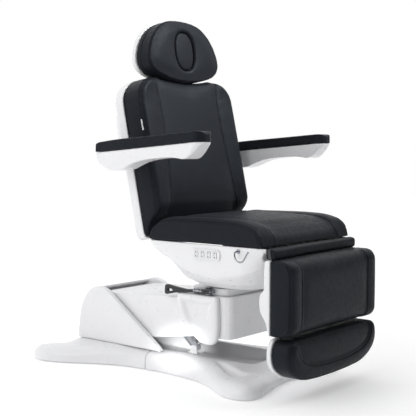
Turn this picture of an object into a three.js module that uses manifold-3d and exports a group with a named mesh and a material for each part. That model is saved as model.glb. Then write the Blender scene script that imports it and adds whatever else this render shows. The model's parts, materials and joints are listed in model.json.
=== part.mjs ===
// Electric facial treatment bed: a four-motor lying chair on a rocker-shaped base.
// Millimetres, +Z up, +X towards the sitter's feet, +Y to the sitter's left.
// Pieces are drawn about the swivel axis (x = 0, y = 0) and moved together at the end.
import * as THREE from 'three';
import { mergeVertices } from 'three/addons/utils/BufferGeometryUtils.js';
import Module from 'manifold-3d';

const wasm = await Module();
wasm.setup();

// ---------------------------------------------------------------- driving dimensions
const GAP = 0.3;
const SWIVEL_X = 166.6; // swivel axis ahead of the middle of the whole bed

const PAD_HALF = 305; // half width of the seat and leg cushions
const SEAT = { rear: -183, front: 371, bottom: 557.4, top: 654 };
const BACK = { hinge: [-210, 530], lean: 12.2, half: 300, top: 690, front: 112, rear: 12, shell: -29 };
const HEAD = { root: [-311.8, 1186], lean: 7, half: 222, top: 259, thick: 77, shell: -20 };
const PLUG = { half: 60, bottom: 50, top: 212, gap: 1.2 };
const ARM = { inner: 359, outer: 449, rear: -329, front: 205, pivot: [-270, 872] };
const LEG = { hinge: [385, 550], back: 402, front: 499, bottom: 246, top: 518.5, shell: 377 };
const FOOT = { bottom: 70, top: 236, half: 312, shell: 398, back: 416, front: 502 };
const LIFT = { rear: [-565, 213], front: [-60, 243], drop: 50, rearRadius: 84, frontRadius: 78, half: 160 };
const COVER_WALL = 5;
const BASE = { seam: -293, underside: 3, top: 82, trayHalf: 130, trayFront: 160, skin: 6 };
const TOWER = { half: 190, wall: 24 };
const TRAY_TOP = 20;
const COLUMN = { half: 164, shieldOuter: 190, bottom: 170, plateTop: 367 };
const TILT = [-40, 392];
const ACTUATOR = { foot: [-260, 50], head: [-445, 223], near: 70, far: 100, tube: 19, rod: 9, play: 6 };
const PANEL = { x: 111, z: 520, halfWidth: 68, halfHeight: 20, face: -303 };
const KEY = { pitch: 30, halfWidth: 9.5, halfHeight: 13, count: 4 };
const PIN_RADIUS = 12;
const PIN_PLAY = 0.7; // round the two main pivot pins

// ---------------------------------------------------------------- finishes
const finish = (color, roughness, metalness = 0) =>
  new THREE.MeshStandardMaterial({ color, roughness, metalness });
const WHITE = finish(0xf3f3f5, 0.3);
const BLACK_LEATHER = finish(0x232427, 0.5);
const BLACK_PLASTIC = finish(0x17181a, 0.45);
const STEEL = finish(0x9a9da1, 0.4, 0.9);
const PAINTED = finish(0x3a3c40, 0.5, 0.4);
const CHROME = finish(0xd8dadd, 0.1, 1);
const RUBBER = finish(0x1d1d1e, 0.9);
const KEY_GREY = finish(0xe4e5e8, 0.45);

// ---------------------------------------------------------------- solids
const toSolid = (geometry) => {
  const bare = geometry.clone();
  bare.deleteAttribute('normal');
  bare.deleteAttribute('uv');
  const merged = mergeVertices(bare, 1e-4);
  return new wasm.Manifold(new wasm.Mesh({
    numProp: 3,
    vertProperties: new Float32Array(merged.attributes.position.array),
    triVerts: new Uint32Array(merged.index.array),
  }));
};

const toGeometry = (solid) => {
  const mesh = solid.getMesh();
  const geometry = new THREE.BufferGeometry();
  geometry.setAttribute('position', new THREE.BufferAttribute(mesh.vertProperties, 3));
  geometry.setIndex(new THREE.BufferAttribute(mesh.triVerts, 1));
  geometry.computeVertexNormals();
  return geometry;
};

const joined = (...solids) => solids.reduce((sum, one) => sum.add(one));
const without = (solid, ...tools) => tools.reduce((rest, tool) => rest.subtract(tool), solid);

const basis = (u, v, origin = [0, 0, 0]) => {
  const across = new THREE.Vector3(...u);
  const up = new THREE.Vector3(...v);
  const out = new THREE.Vector3().crossVectors(across, up);
  return new THREE.Matrix4().makeBasis(across, up, out).setPosition(...origin);
};
const PLAN = basis([1, 0, 0], [0, 1, 0]);
const SIDE = basis([1, 0, 0], [0, 0, 1]);

// A straight prism of an outline, from depth d0 to d1 along the third axis of the frame.
const prism = (shape, frame, d0, d1, options = {}) => {
  const geometry = new THREE.ExtrudeGeometry(shape, {
    depth: d1 - d0, bevelEnabled: false, curveSegments: 4, ...options,
  });
  geometry.translate(0, 0, d0);
  geometry.applyMatrix4(frame);
  return toSolid(geometry);
};
const plan = (shape, z0, z1, options) => prism(shape, PLAN, z0, z1, options);
const side = (shape, y0, y1) => prism(shape, SIDE, -y1, -y0);
const sideWide = (shape, half) => side(shape, -half, half);

const box = (x0, x1, y0, y1, z0, z1) => {
  const geometry = new THREE.BoxGeometry(x1 - x0, y1 - y0, z1 - z0);
  geometry.translate((x0 + x1) / 2, (y0 + y1) / 2, (z0 + z1) / 2);
  return toSolid(geometry);
};

const cross = (radius, [x, z], y0, y1, segments = 14) => {
  const geometry = new THREE.CylinderGeometry(radius, radius, y1 - y0, segments);
  geometry.translate(x, (y0 + y1) / 2, z);
  return toSolid(geometry);
};

const upright = (radius, x, y, z0, z1, segments = 24) => {
  const geometry = new THREE.CylinderGeometry(radius, radius, z1 - z0, segments);
  geometry.rotateX(Math.PI / 2);
  geometry.translate(x, y, (z0 + z1) / 2);
  return toSolid(geometry);
};

// ---------------------------------------------------------------- outlines
const straight = (points) => new THREE.Shape(points.map(([x, y]) => new THREE.Vector2(x, y)));

// A polygon whose corners [x, y, radius] are rounded off, by less than half of either edge.
const LARGEST_SHARE = 0.48;
const rounded = (corners) => {
  const shape = new THREE.Shape();
  corners.forEach(([x, y, wanted = 0], i) => {
    const here = new THREE.Vector2(x, y);
    const [px, py] = corners[(i + corners.length - 1) % corners.length];
    const [nx, ny] = corners[(i + 1) % corners.length];
    const toLast = new THREE.Vector2(px, py).sub(here);
    const toNext = new THREE.Vector2(nx, ny).sub(here);
    const radius = Math.min(wanted, LARGEST_SHARE * toLast.length(), LARGEST_SHARE * toNext.length());
    const before = toLast.setLength(radius).add(here);
    const after = toNext.setLength(radius).add(here);
    if (i === 0) shape.moveTo(before.x, before.y);
    else shape.lineTo(before.x, before.y);
    if (radius > 0) shape.quadraticCurveTo(x, y, after.x, after.y);
  });
  shape.closePath();
  return shape;
};

const smooth = (points, count) => {
  const curve = new THREE.SplineCurve(points.map(([x, y]) => new THREE.Vector2(x, y)));
  return curve.getPoints(count).map((p) => [p.x, p.y]);
};

// Closes half an outline with its mirror image; flipped says which coordinate changes sign.
const mirrored = (half, flipped) => {
  const other = half.filter((point) => Math.abs(point[flipped]) > 1e-6).map((point) => {
    const copy = [...point];
    copy[flipped] = -copy[flipped];
    return copy;
  });
  return [...half, ...other.reverse()];
};

// Moves each point of a closed outline inwards along its normal.
const inset = (points, distance) => points.map(([x, y], i) => {
  const [px, py] = points[(i + points.length - 1) % points.length];
  const [nx, ny] = points[(i + 1) % points.length];
  const area = THREE.ShapeUtils.area(points.map(([a, b]) => new THREE.Vector2(a, b)));
  const along = new THREE.Vector2(nx - px, ny - py).normalize().multiplyScalar(Math.sign(area));
  return [x - along.y * distance, y + along.x * distance];
});

const arc = ([cx, cy], radius, from, to, steps) => {
  const points = [];
  for (let i = 0; i <= steps; i += 1) {
    const angle = THREE.MathUtils.degToRad(from + ((to - from) * i) / steps);
    points.push([cx + radius * Math.cos(angle), cy + radius * Math.sin(angle)]);
  }
  return points;
};

// A closed skin over level rounded rectangles, each { z, x0, x1, half, r }.
const levels = (sections) => {
  const corner = 6;
  const rings = sections.map(({ z, x0, x1, half, r }) => [
    ...arc([x1 - r, half - r], r, 0, 90, corner),
    ...arc([x0 + r, half - r], r, 90, 180, corner),
    ...arc([x0 + r, -half + r], r, 180, 270, corner),
    ...arc([x1 - r, -half + r], r, 270, 360, corner),
  ].map(([x, y]) => [x, y, z]));
  const count = rings[0].length;
  const index = [];
  for (let level = 0; level + 1 < rings.length; level += 1) {
    for (let i = 0; i < count; i += 1) {
      const a = level * count + i;
      const b = level * count + ((i + 1) % count);
      index.push(a, b, b + count, a, b + count, a + count);
    }
  }
  const top = (rings.length - 1) * count;
  for (let i = 1; i + 1 < count; i += 1) {
    index.push(0, i + 1, i);
    index.push(top, top + i, top + i + 1);
  }
  const geometry = new THREE.BufferGeometry();
  geometry.setAttribute('position', new THREE.Float32BufferAttribute(rings.flat(2), 3));
  geometry.setIndex(index);
  return toSolid(geometry);
};

// ---------------------------------------------------------------- assembly
const bed = new THREE.Group();
bed.position.x = SWIVEL_X;
const add = (name, solid, material) => {
  const mesh = new THREE.Mesh(toGeometry(solid), material);
  mesh.name = name;
  bed.add(mesh);
};
const SIDES = [['right', -1], ['left', 1]];
const between = (sign, near, far) => [Math.min(sign * near, sign * far), Math.max(sign * near, sign * far)];

// ---------------------------------------------------------------- base
const crossTubes = [
  { name: 'rear', x0: -730, x1: -680, half: 338, footX: -705, footY: 316 },
  { name: 'front', x0: 205, x1: 250, half: 292, footX: 228, footY: 270 },
];
const FOOT_HEIGHT = 8;
const TUBE_TOP = 46;

const actuatorEars = [[62, 68], [102, 108]].map(([y0, y1]) => {
  const [footX, footZ] = ACTUATOR.foot;
  return side(rounded([
    [footX - 22, TRAY_TOP - 2], [footX - 12, footZ + 12, 8], [footX + 12, footZ + 12, 8], [footX + 22, TRAY_TOP - 2],
  ]), y0, y1);
});
const EAR_PIN = 6;
const baseFrameParts = (grow) => [
  box(-690, 210, -124 - grow, 124 + grow, FOOT_HEIGHT - grow, TRAY_TOP + grow),
  ...crossTubes.map((tube) => box(
    tube.x0 - grow, tube.x1 + grow, -tube.half - grow, tube.half + grow, FOOT_HEIGHT - grow, TUBE_TOP + grow,
  )),
];
add('base_frame', joined(
  ...baseFrameParts(0),
  ...actuatorEars,
  cross(EAR_PIN, ACTUATOR.foot, 62, 108),
), PAINTED);

crossTubes.forEach((tube) => SIDES.forEach(([label, sign]) => {
  add(`foot_${tube.name}_${label}`, upright(22, tube.footX, sign * tube.footY, 0, FOOT_HEIGHT - GAP, 16), RUBBER);
}));

const rearHalfOutline = [
  ...smooth([
    [-745, 0], [-750, 150], [-776, 232], [-818, 286], [-835, 332], [-806, 368], [-735, 373],
    [-640, 338], [-520, 270], [-400, 222], [BASE.seam - GAP, 208],
  ], 26),
];
const frontHalfOutline = [
  ...smooth([
    [BASE.seam + GAP, 208], [-150, 206], [0, 225], [90, 262], [145, 295], [205, 328], [271, 336],
    [316, 314], [332, 270], [318, 190], [290, 90], [278, 0],
  ], 26),
];
const baseHeight = (drop) => rounded([
  [-860, BASE.underside - drop], [-860, 40 - drop], [-790, 60 - drop, 30], [-690, 66 - drop, 30],
  [-600, BASE.top - drop, 30], [100, BASE.top - drop, 40], [200, 64 - drop, 30], [300, 56 - drop, 20],
  [350, 34 - drop], [350, BASE.underside - drop],
]);
const coverShell = (outline) => {
  const outer = plan(straight(outline), -20, BASE.top - 12, {
    bevelEnabled: true, bevelSize: 14, bevelOffset: -14, bevelThickness: 12, bevelSegments: 2,
  }).intersect(sideWide(baseHeight(0), 400));
  const hollow = plan(straight(inset(outline, BASE.skin)), -20, BASE.top - 12, {
    bevelEnabled: true, bevelSize: 14, bevelOffset: -14, bevelThickness: 12, bevelSegments: 1,
  }).intersect(sideWide(baseHeight(BASE.skin), 400));
  return { outer, hollow };
};
const trayWell = (grow, rearEnd) => plan(rounded([
  [rearEnd - grow, -BASE.trayHalf - grow],
  [BASE.trayFront + grow, -BASE.trayHalf - grow, 90],
  [BASE.trayFront + grow, BASE.trayHalf + grow, 90],
  [rearEnd - grow, BASE.trayHalf + grow],
]), -40, 140);
const frameRoom = baseFrameParts(1);
const makeCover = (outline) => {
  const { outer, hollow } = coverShell(outline);
  const well = trayWell(0, -640);
  const wellWall = trayWell(BASE.skin, -640);
  return without(outer.subtract(hollow.subtract(wellWall)), well, ...frameRoom);
};
const rearOutline = mirrored(rearHalfOutline, 1);
const frontOutline = mirrored(frontHalfOutline, 1);
add('base_cover_rear', makeCover(rearOutline), WHITE);
add('base_cover_front', makeCover(frontOutline), WHITE);

// ---------------------------------------------------------------- tower over the rear pivot
const towerFoot = BASE.top + GAP;
const towerOutline = rounded([
  [-718, towerFoot], [-712, 170, 40], [-688, 246, 30], [-642, 306, 30], [-585, 322, 20], [-538, 310, 14],
  [-238, 100, 10], [-226, towerFoot],
]);
const towerHollow = rounded([
  [-711, towerFoot - 1], [-705, 168, 40], [-681, 241, 30], [-650, 285, 10], [-622, 300, 5], [-614, 340],
  [-200, 340], [-200, towerFoot - 1],
]);
const towerInner = TOWER.half - TOWER.wall;
add('tower_cover', sideWide(towerOutline, TOWER.half).subtract(sideWide(towerHollow, towerInner)), WHITE);

const [rearX, rearZ] = LIFT.rear;
const linkRear = [rearX, rearZ - LIFT.drop];
const LINK_PIN = 9;
const LINK_HALF = 9;
const LINK_EYE = 15;
const bracketCheeks = SIDES.map(([, sign]) => {
  const [y0, y1] = between(sign, 60, 72);
  return side(rounded([
    [rearX - 45, TRAY_TOP + 6], [rearX - 30, rearZ, 6], [rearX - 16, rearZ + 24, 14], [rearX + 16, rearZ + 24, 14],
    [rearX + 30, rearZ, 6], [rearX + 45, TRAY_TOP + 6],
  ]), y0, y1);
});
add('tower_bracket', without(
  joined(box(rearX - 60, rearX + 60, -80, 80, TRAY_TOP + GAP, TRAY_TOP + 8), ...bracketCheeks),
  cross(PIN_RADIUS + PIN_PLAY, LIFT.rear, -90, 90),
  cross(LINK_PIN + GAP, linkRear, -90, 90),
), STEEL);
add('arm_pivot_pin', cross(PIN_RADIUS, LIFT.rear, -84, 84), STEEL);

const inletFace = -727;
const inletBody = box(inletFace, -719, 36, 84, 104, 140);
add('mains_inlet', inletBody.subtract(box(inletFace - 1, -720.5, 44, 76, 110, 134)), BLACK_PLASTIC);

// ---------------------------------------------------------------- lifting arm and its parallel link
const [frontX, frontZ] = LIFT.front;
const armOutline = straight([
  ...arc(LIFT.rear, LIFT.rearRadius, 90, 270, 14),
  [-340, 121],
  ...arc(LIFT.front, LIFT.frontRadius, 270, 450, 14),
]);
const armHollow = straight([
  ...arc(LIFT.rear, LIFT.rearRadius - COVER_WALL, 90, 195, 8),
  [-642, 90], [-170, 90], [-170, 156],
  ...arc(LIFT.front, LIFT.frontRadius - COVER_WALL, 270, 450, 12),
]);
add('lift_arm_cover', without(
  sideWide(armOutline, LIFT.half),
  sideWide(armHollow, LIFT.half - COVER_WALL),
  cross(PIN_RADIUS + PIN_PLAY, LIFT.front, -170, 170),
), WHITE);

// A flat bar between two eyes.
const bar = ([x0, z0], [x1, z1], halfHeight, eyeRadius, y0, y1) => {
  const tilt = Math.atan2(z1 - z0, x1 - x0);
  const sx = -Math.sin(tilt) * halfHeight;
  const sz = Math.cos(tilt) * halfHeight;
  return joined(
    side(straight([[x0 - sx, z0 - sz], [x1 - sx, z1 - sz], [x1 + sx, z1 + sz], [x0 + sx, z0 + sz]]), y0, y1),
    cross(eyeRadius, [x0, z0], y0, y1),
    cross(eyeRadius, [x1, z1], y0, y1),
  );
};
const ARM_STUD = 8;
add('lift_arm', without(
  joined(bar(LIFT.rear, LIFT.front, 22, 25, -55, 55), cross(ARM_STUD, ACTUATOR.head, 50, ACTUATOR.far + 6)),
  cross(PIN_RADIUS + PIN_PLAY, LIFT.rear, -60, 60),
  cross(PIN_RADIUS + PIN_PLAY, LIFT.front, -60, 60),
), PAINTED);

const linkFront = [frontX, frontZ - LIFT.drop];
add('parallel_link', without(
  bar(linkRear, linkFront, LINK_HALF, LINK_EYE, -50, 50),
  cross(LINK_PIN + GAP, linkRear, -60, 60),
  cross(LINK_PIN + GAP, linkFront, -60, 60),
), PAINTED);

// ---------------------------------------------------------------- lift actuator
const actuatorLine = new THREE.Vector2(...ACTUATOR.head).sub(new THREE.Vector2(...ACTUATOR.foot));
const actuatorY = (ACTUATOR.near + ACTUATOR.far) / 2;
// A round bar along the actuator, from s0 to s1 beyond its foot pin.
const onActuator = (radius, s0, s1) => {
  const geometry = new THREE.CylinderGeometry(radius, radius, s1 - s0, 16);
  geometry.translate(0, (s0 + s1) / 2, 0);
  geometry.rotateZ(actuatorLine.angle() - Math.PI / 2);
  geometry.rotateX(Math.PI / 2);
  geometry.translate(ACTUATOR.foot[0], actuatorY, ACTUATOR.foot[1]);
  return toSolid(geometry);
};
const actuatorLength = actuatorLine.length();
const EYE_HALF = 14;
add('lift_motor', without(
  joined(
    cross(EYE_HALF, ACTUATOR.foot, ACTUATOR.near, ACTUATOR.far),
    onActuator(ACTUATOR.tube - 5, 0, 40),
    onActuator(ACTUATOR.tube, 24, 165),
  ),
  cross(EAR_PIN + GAP, ACTUATOR.foot, 60, 110),
  onActuator(ACTUATOR.rod + 1, 60, 170),
), BLACK_PLASTIC);
const rodEye = ARM_STUD + ACTUATOR.play;
add('lift_rod', without(
  joined(
    onActuator(ACTUATOR.rod, 72, actuatorLength - rodEye - 2),
    cross(rodEye + 6, ACTUATOR.head, actuatorY - 12, actuatorY + 12),
  ),
  cross(rodEye, ACTUATOR.head, 60, 110),
), STEEL);

// ---------------------------------------------------------------- column
const bracketTop = 338;
const columnCheeks = SIDES.map(([, sign]) => {
  const [y0, y1] = between(sign, LIFT.half + 1, COLUMN.half);
  return side(rounded([
    [frontX - 60, 330], [frontX - 34, frontZ, 8], [frontX - 18, frontZ - 26, 12], [frontX + 18, frontZ - 26, 12],
    [frontX + 34, frontZ, 8], [frontX + 60, 330],
  ]), y0, y1);
});
add('column_bracket', without(
  joined(box(-130, 18, -COLUMN.half, COLUMN.half, 326, bracketTop), ...columnCheeks),
  cross(PIN_RADIUS + PIN_PLAY, LIFT.front, -170, 170),
), STEEL);
add('column_pivot_pin', cross(PIN_RADIUS, LIFT.front, -COLUMN.half, COLUMN.half), STEEL);

const shieldOutline = rounded([
  [-141, 320, 8], [-128, 262, 30], [-92, 208, 30], [-40, 160, 30], [8, 143, 20], [54, 150, 24], [70, 190, 20],
  [71, 262, 20], [64, 342, 8],
]);
const shieldDish = rounded([
  [-108, 306, 12], [-96, 262, 30], [-60, 216, 30], [-14, 196, 24], [14, 214, 16], [30, 262, 14], [44, 322, 12],
]);
SIDES.forEach(([label, sign]) => {
  const [y0, y1] = between(sign, COLUMN.half + 1, COLUMN.shieldOuter);
  const [d0, d1] = between(sign, COLUMN.shieldOuter - 8, COLUMN.shieldOuter + 5);
  add(`side_shield_${label}`, side(shieldOutline, y0, y1).subtract(side(shieldDish, d0, d1)), WHITE);
});
const frontBlock = (grow) => rounded([
  [22, -COLUMN.half + grow], [118 - grow, -COLUMN.half + grow, 88], [118 - grow, COLUMN.half - grow, 88],
  [22, COLUMN.half - grow],
]);
add('column_front_cover', without(
  plan(frontBlock(0), COLUMN.bottom, bracketTop),
  plan(frontBlock(COVER_WALL), COLUMN.bottom - 1, bracketTop - COVER_WALL).subtract(
    box(20, 22 + COVER_WALL, -200, 200, 100, 400),
  ),
), WHITE);
add('column_top_plate', plan(rounded([
  [-96, -150, 40], [100, -150, 50], [100, 150, 50], [-96, 150, 40],
]), bracketTop + GAP, COLUMN.plateTop), WHITE);
add('swivel_bearing', upright(52, 0, 0, COLUMN.plateTop + GAP, 374.7).subtract(upright(34, 0, 0, 360, 380)), STEEL);

// ---------------------------------------------------------------- swivel lock
const LOCK_Y = -176;
const HANDLE_HALF = 7;
const lockHub = joined(
  upright(11, 22, LOCK_Y, 344.5, 374),
  box(22, 34, LOCK_Y - 8, -151, 348, 364),
);
add('lock_hub', lockHub.subtract(box(21, 36, -151.5, -140, 340, 380)), CHROME);
const leverOutline = rounded([
  [8, 347, 3], [8, 362, 3], [-40, 360, 8], [-88, 354, 12], [-150, 360, 12], [-196, 366, 6], [-204, 360, 5],
  [-206, 328, 5], [-196, 324, 6], [-150, 335, 12], [-88, 342, 12], [-40, 346, 8],
]);
const leverSlot = rounded([[-190, 351, 4], [-163, 348, 3], [-163, 341, 3], [-190, 337, 4]]);
add('lock_lever', side(leverOutline, LOCK_Y - HANDLE_HALF, LOCK_Y + HANDLE_HALF)
  .subtract(side(leverSlot, LOCK_Y - 20, LOCK_Y + 20)), BLACK_PLASTIC);

// ---------------------------------------------------------------- swivelling seat base
const [tiltX, tiltZ] = TILT;
const TILT_PIN = 7;
const swivelLugs = SIDES.map(([, sign]) => {
  const [y0, y1] = between(sign, 80, 89.9);
  return side(rounded([
    [tiltX - 14, 376], [tiltX - 13, tiltZ + 12, 10], [tiltX + 13, tiltZ + 12, 10], [tiltX + 14, 376],
  ]), y0, y1);
});
add('swivel_plate', joined(
  box(tiltX - 14, 90, -89.9, 89.9, 375, 381),
  ...swivelLugs,
  cross(TILT_PIN, TILT, -99, 99),
), STEEL);

// ---------------------------------------------------------------- seat
const seatLugs = SIDES.map(([, sign]) => {
  const [y0, y1] = between(sign, 90.5, 98.5);
  return side(rounded([
    [tiltX - 13, tiltZ - 12, 10], [tiltX - 18, 460], [tiltX + 18, 460], [tiltX + 13, tiltZ - 12, 10],
  ]), y0, y1);
});
add('seat_frame', without(
  joined(box(-58, 300, -200, 200, 455, 463), ...seatLugs),
  cross(TILT_PIN + GAP, TILT, -110, 110),
), PAINTED);

const tubOuter = levels([
  { z: 377.5, x0: -72, x1: 236, half: 186, r: 60 },
  { z: 412, x0: -80, x1: 326, half: 232, r: 60 },
  { z: 446, x0: -88, x1: 362, half: 292, r: 40 },
  { z: 503, x0: -117, x1: 372, half: 302, r: 34 },
  { z: 524, x0: -141, x1: 375, half: 302.5, r: 34 },
  { z: 526, x0: -143, x1: 402, half: 302.5, r: 20 },
  { z: 557, x0: -187, x1: 404, half: 303, r: 20 },
]);
const tubHollow = levels([
  { z: 370, x0: -64, x1: 226, half: 172, r: 50 },
  { z: 414, x0: -70, x1: 314, half: 222, r: 50 },
  { z: 450, x0: -78, x1: 348, half: 280, r: 34 },
  { z: 503, x0: -104, x1: 348, half: 291, r: 28 },
  { z: 550, x0: -160, x1: 348, half: 291, r: 28 },
]);
const kneeRoom = box(360, 420, -288, 288, 506, 570);
const seatShell = without(tubOuter, tubHollow, kneeRoom);
add('seat_shell', seatShell, WHITE);

add('seat_cushion', sideWide(rounded([
  [SEAT.rear, SEAT.bottom, 6], [SEAT.front, SEAT.bottom, 6], [SEAT.front - 12, 606, 24], [340, 637, 24],
  [276, SEAT.top, 40], [SEAT.rear + 98, SEAT.top, 20], [SEAT.rear + 50, SEAT.top - 12, 20], [SEAT.rear + 12, SEAT.top - 48, 16],
  [SEAT.rear, SEAT.top - 82, 10],
]), PAD_HALF), BLACK_LEATHER);

// ---------------------------------------------------------------- side panel with rocker keys
const keyCentres = [];
for (let i = 0; i < KEY.count; i += 1) {
  keyCentres.push(PANEL.x + (i - (KEY.count - 1) / 2) * KEY.pitch);
}
const panelPlate = side(rounded([
  [PANEL.x - PANEL.halfWidth, PANEL.z - PANEL.halfHeight, 14],
  [PANEL.x + PANEL.halfWidth, PANEL.z - PANEL.halfHeight, 14],
  [PANEL.x + PANEL.halfWidth, PANEL.z + PANEL.halfHeight, 14],
  [PANEL.x - PANEL.halfWidth, PANEL.z + PANEL.halfHeight, 14],
]), PANEL.face - 3.2, PANEL.face - GAP);
const keyOutline = (x, grow) => rounded([
  [x - KEY.halfWidth - grow, PANEL.z - KEY.halfHeight - grow, 5],
  [x + KEY.halfWidth + grow, PANEL.z - KEY.halfHeight - grow, 5],
  [x + KEY.halfWidth + grow, PANEL.z + KEY.halfHeight + grow, 5],
  [x - KEY.halfWidth - grow, PANEL.z + KEY.halfHeight + grow, 5],
]);
add('button_panel', without(
  panelPlate,
  ...keyCentres.map((x) => side(keyOutline(x, 0.8), PANEL.face - 10, PANEL.face + 5)),
), WHITE);
keyCentres.forEach((x, i) => {
  add(`rocker_key_${i + 1}`, side(keyOutline(x, 0), PANEL.face - 5.4, PANEL.face - 1.6), KEY_GREY);
});

// ---------------------------------------------------------------- hook for the hand control
const HOOK_WIRE = 2.6;
const hookSection = straight(arc([0, 0], HOOK_WIRE, 0, 315, 7));
const hookPath = new THREE.CatmullRomCurve3([
  [264, -304.5, 542], [264, -316, 542], [265, -327, 537], [270, -330, 520], [284, -331, 507], [302, -331, 509],
  [315, -332, 523], [324, -334, 537], [333, -336, 546],
].map((p) => new THREE.Vector3(...p)), false, 'centripetal');
add('remote_hook', toSolid(new THREE.ExtrudeGeometry(hookSection, {
  steps: 26, extrudePath: hookPath, bevelEnabled: false,
})), CHROME);

// ---------------------------------------------------------------- back rest
const lean = THREE.MathUtils.degToRad(BACK.lean);
const [hingeX, hingeZ] = BACK.hinge;
const leaned = (angle, [x, z]) => ({
  up: [-Math.sin(angle), 0, Math.cos(angle)],
  forward: [Math.cos(angle), 0, Math.sin(angle)],
  origin: [x, 0, z],
});
const back = leaned(lean, BACK.hinge);
const backFace = basis([0, 1, 0], back.up, back.origin); // outline (y, u), depth forwards
const backSide = basis(back.forward, back.up, back.origin); // outline (n, u), depth towards -Y

// Half of the top edge, [y, u], from the straight side over the shoulder to the dip under the head rest.
const SHOULDER = [
  [BACK.half, 556], [BACK.half - 2, 590], [288, 618], [270, 640], [244, 660], [210, 674], [172, 679], [140, 669],
  [100, 660], [60, 653], [0, BACK.top - 42],
];
const backOutline = straight(mirrored([[0, 24], [286, 24], [BACK.half, 40], ...SHOULDER], 0));
const backProfile = rounded([
  [BACK.rear + GAP, 30, 4], [26, 38, 6], [34, 62, 10], [58, 93, 16], [86, 114, 16], [BACK.front - 2, 146, 16],
  [BACK.front, 260, 40],
  [BACK.front, BACK.top + 5, 16], [BACK.rear + GAP, BACK.top + 5, 10],
]);
add('back_cushion', prism(backOutline, backFace, BACK.rear + GAP, 130)
  .intersect(prism(backProfile, backSide, -320, 320)), BLACK_LEATHER);

const backPlate = (grow) => joined(
  prism(straight([[-230, 60], [230, 60], [230, 600], [-230, 600]]), backFace, 5 - grow, BACK.rear),
  ...SIDES.map(([, sign]) => {
    const [y0, y1] = between(sign, 140 - grow, 152 + grow);
    return prism(rounded([
      [-12 - grow, 0, 6], [-12 - grow, 14, 4], [5 - grow, 66], [BACK.rear, 66], [12 + grow, 14, 4], [12 + grow, 0, 6],
      [0, -12 - grow, 8],
    ]), backSide, -y1, -y0);
  }),
);
const HINGE_PIN = 6;
add('back_frame', backPlate(0).subtract(cross(HINGE_PIN + GAP, BACK.hinge, -170, 170)), PAINTED);
add('back_hinge_pin', cross(HINGE_PIN, BACK.hinge, -166, 166), STEEL);

const hingeEars = SIDES.map(([, sign]) => {
  const [y0, y1] = between(sign, 152.6, 164);
  return side(rounded([
    [hingeX - 10, hingeZ - 12, 8], [-100, 470], [-100, 535], [hingeX + 8, hingeZ + 13, 8], [hingeX - 12, hingeZ + 8, 8],
  ]), y0, y1);
});
hingeEars.forEach((ear, i) => {
  const trimmed = without(
    ear,
    tubOuter.translate([-0.4, 0, 0]),
    tubOuter.translate([30, 0, 0]),
    cross(HINGE_PIN + GAP, BACK.hinge, -170, 170),
  );
  add(`back_hinge_ear_${SIDES[i][0]}`, trimmed, BLACK_PLASTIC);
});

const shellOutline = (shrink) => straight(mirrored([
  [0, 26 + shrink], [280 - shrink, 26 + shrink], [299 - shrink, 34 + shrink], [303 - shrink, 60],
  ...SHOULDER.map(([y, u]) => {
    const reach = Math.hypot(y, u - 530);
    return [Math.max(0, y + ((3 - shrink) * y) / reach), u + ((3 - shrink) * (u - 530)) / reach];
  }),
], 0));
const POST = { near: 62, far: 76, bottom: 560, top: 684, n0: -4, n1: 3 };
const headPosts = (grow) => SIDES.map(([, sign]) => {
  const [y0, y1] = between(sign, POST.near - grow, POST.far + grow);
  return prism(straight([
    [POST.n0 - grow, POST.bottom], [POST.n1 + grow, POST.bottom], [POST.n1 + grow, POST.top],
    [POST.n0 - grow, POST.top],
  ]), backSide, -y1, -y0);
});
add('back_shell', without(
  prism(shellOutline(0), backFace, BACK.shell, BACK.rear),
  prism(shellOutline(8), backFace, BACK.shell + 6, BACK.rear + 1),
  backPlate(1),
  ...headPosts(1),
), WHITE);
const COVER_DEPTH = 90;
const rearCoverOutline = (shrink) => rounded([
  [-232 + shrink, 355 + shrink, 40], [232 - shrink, 355 + shrink, 40], [218 - shrink, 585 - shrink, 50],
  [-218 + shrink, 585 - shrink, 50],
]);
add('back_rear_cover', without(
  prism(rearCoverOutline(0), backFace, BACK.shell - COVER_DEPTH, BACK.shell - GAP),
  prism(rearCoverOutline(6), backFace, BACK.shell - COVER_DEPTH + 6, BACK.shell + 1),
), WHITE);

// ---------------------------------------------------------------- head rest
const headLean = THREE.MathUtils.degToRad(HEAD.lean);
const head = leaned(headLean, HEAD.root);
const headFace = basis([0, 1, 0], head.up, head.origin);
const headSide = basis(head.forward, head.up, head.origin);
const headHalf = [
  [0, 0], [60, 3], [120, 13], [178, 30], [210, 54], [HEAD.half, 88], [214, 130], [190, 178], [148, 222],
  [96, 249], [48, 257], [0, HEAD.top],
];
const headOutline = mirrored(smooth(headHalf, 22), 0);
const ovalOf = (grow) => {
  const points = [];
  const middle = (PLUG.bottom + PLUG.top) / 2;
  const reach = (PLUG.top - PLUG.bottom) / 2;
  for (let i = 0; i < 28; i += 1) {
    const angle = (i / 28) * 2 * Math.PI;
    const flat = (value) => Math.sign(value) * Math.abs(value) ** 0.84;
    points.push([
      (PLUG.half + grow) * flat(Math.cos(angle)),
      middle + (reach + grow) * flat(Math.sin(angle)),
    ]);
  }
  return straight(points);
};
add('head_cushion', prism(straight(headOutline), headFace, 0, HEAD.thick)
  .subtract(prism(ovalOf(PLUG.gap), headFace, -5, HEAD.thick + 5)), BLACK_LEATHER);
add('head_plug', prism(ovalOf(0), headFace, 2, HEAD.thick), BLACK_LEATHER);
const shellHead = headOutline.map(([y, v]) => [y * 1.02, 132 + (v - 132) * (v < 132 ? 0.96 : 1.02)]);
add('head_shell', without(
  prism(straight(shellHead), headFace, HEAD.shell, -GAP),
  prism(ovalOf(-6), headFace, HEAD.shell - 5, 5),
), WHITE);

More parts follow.
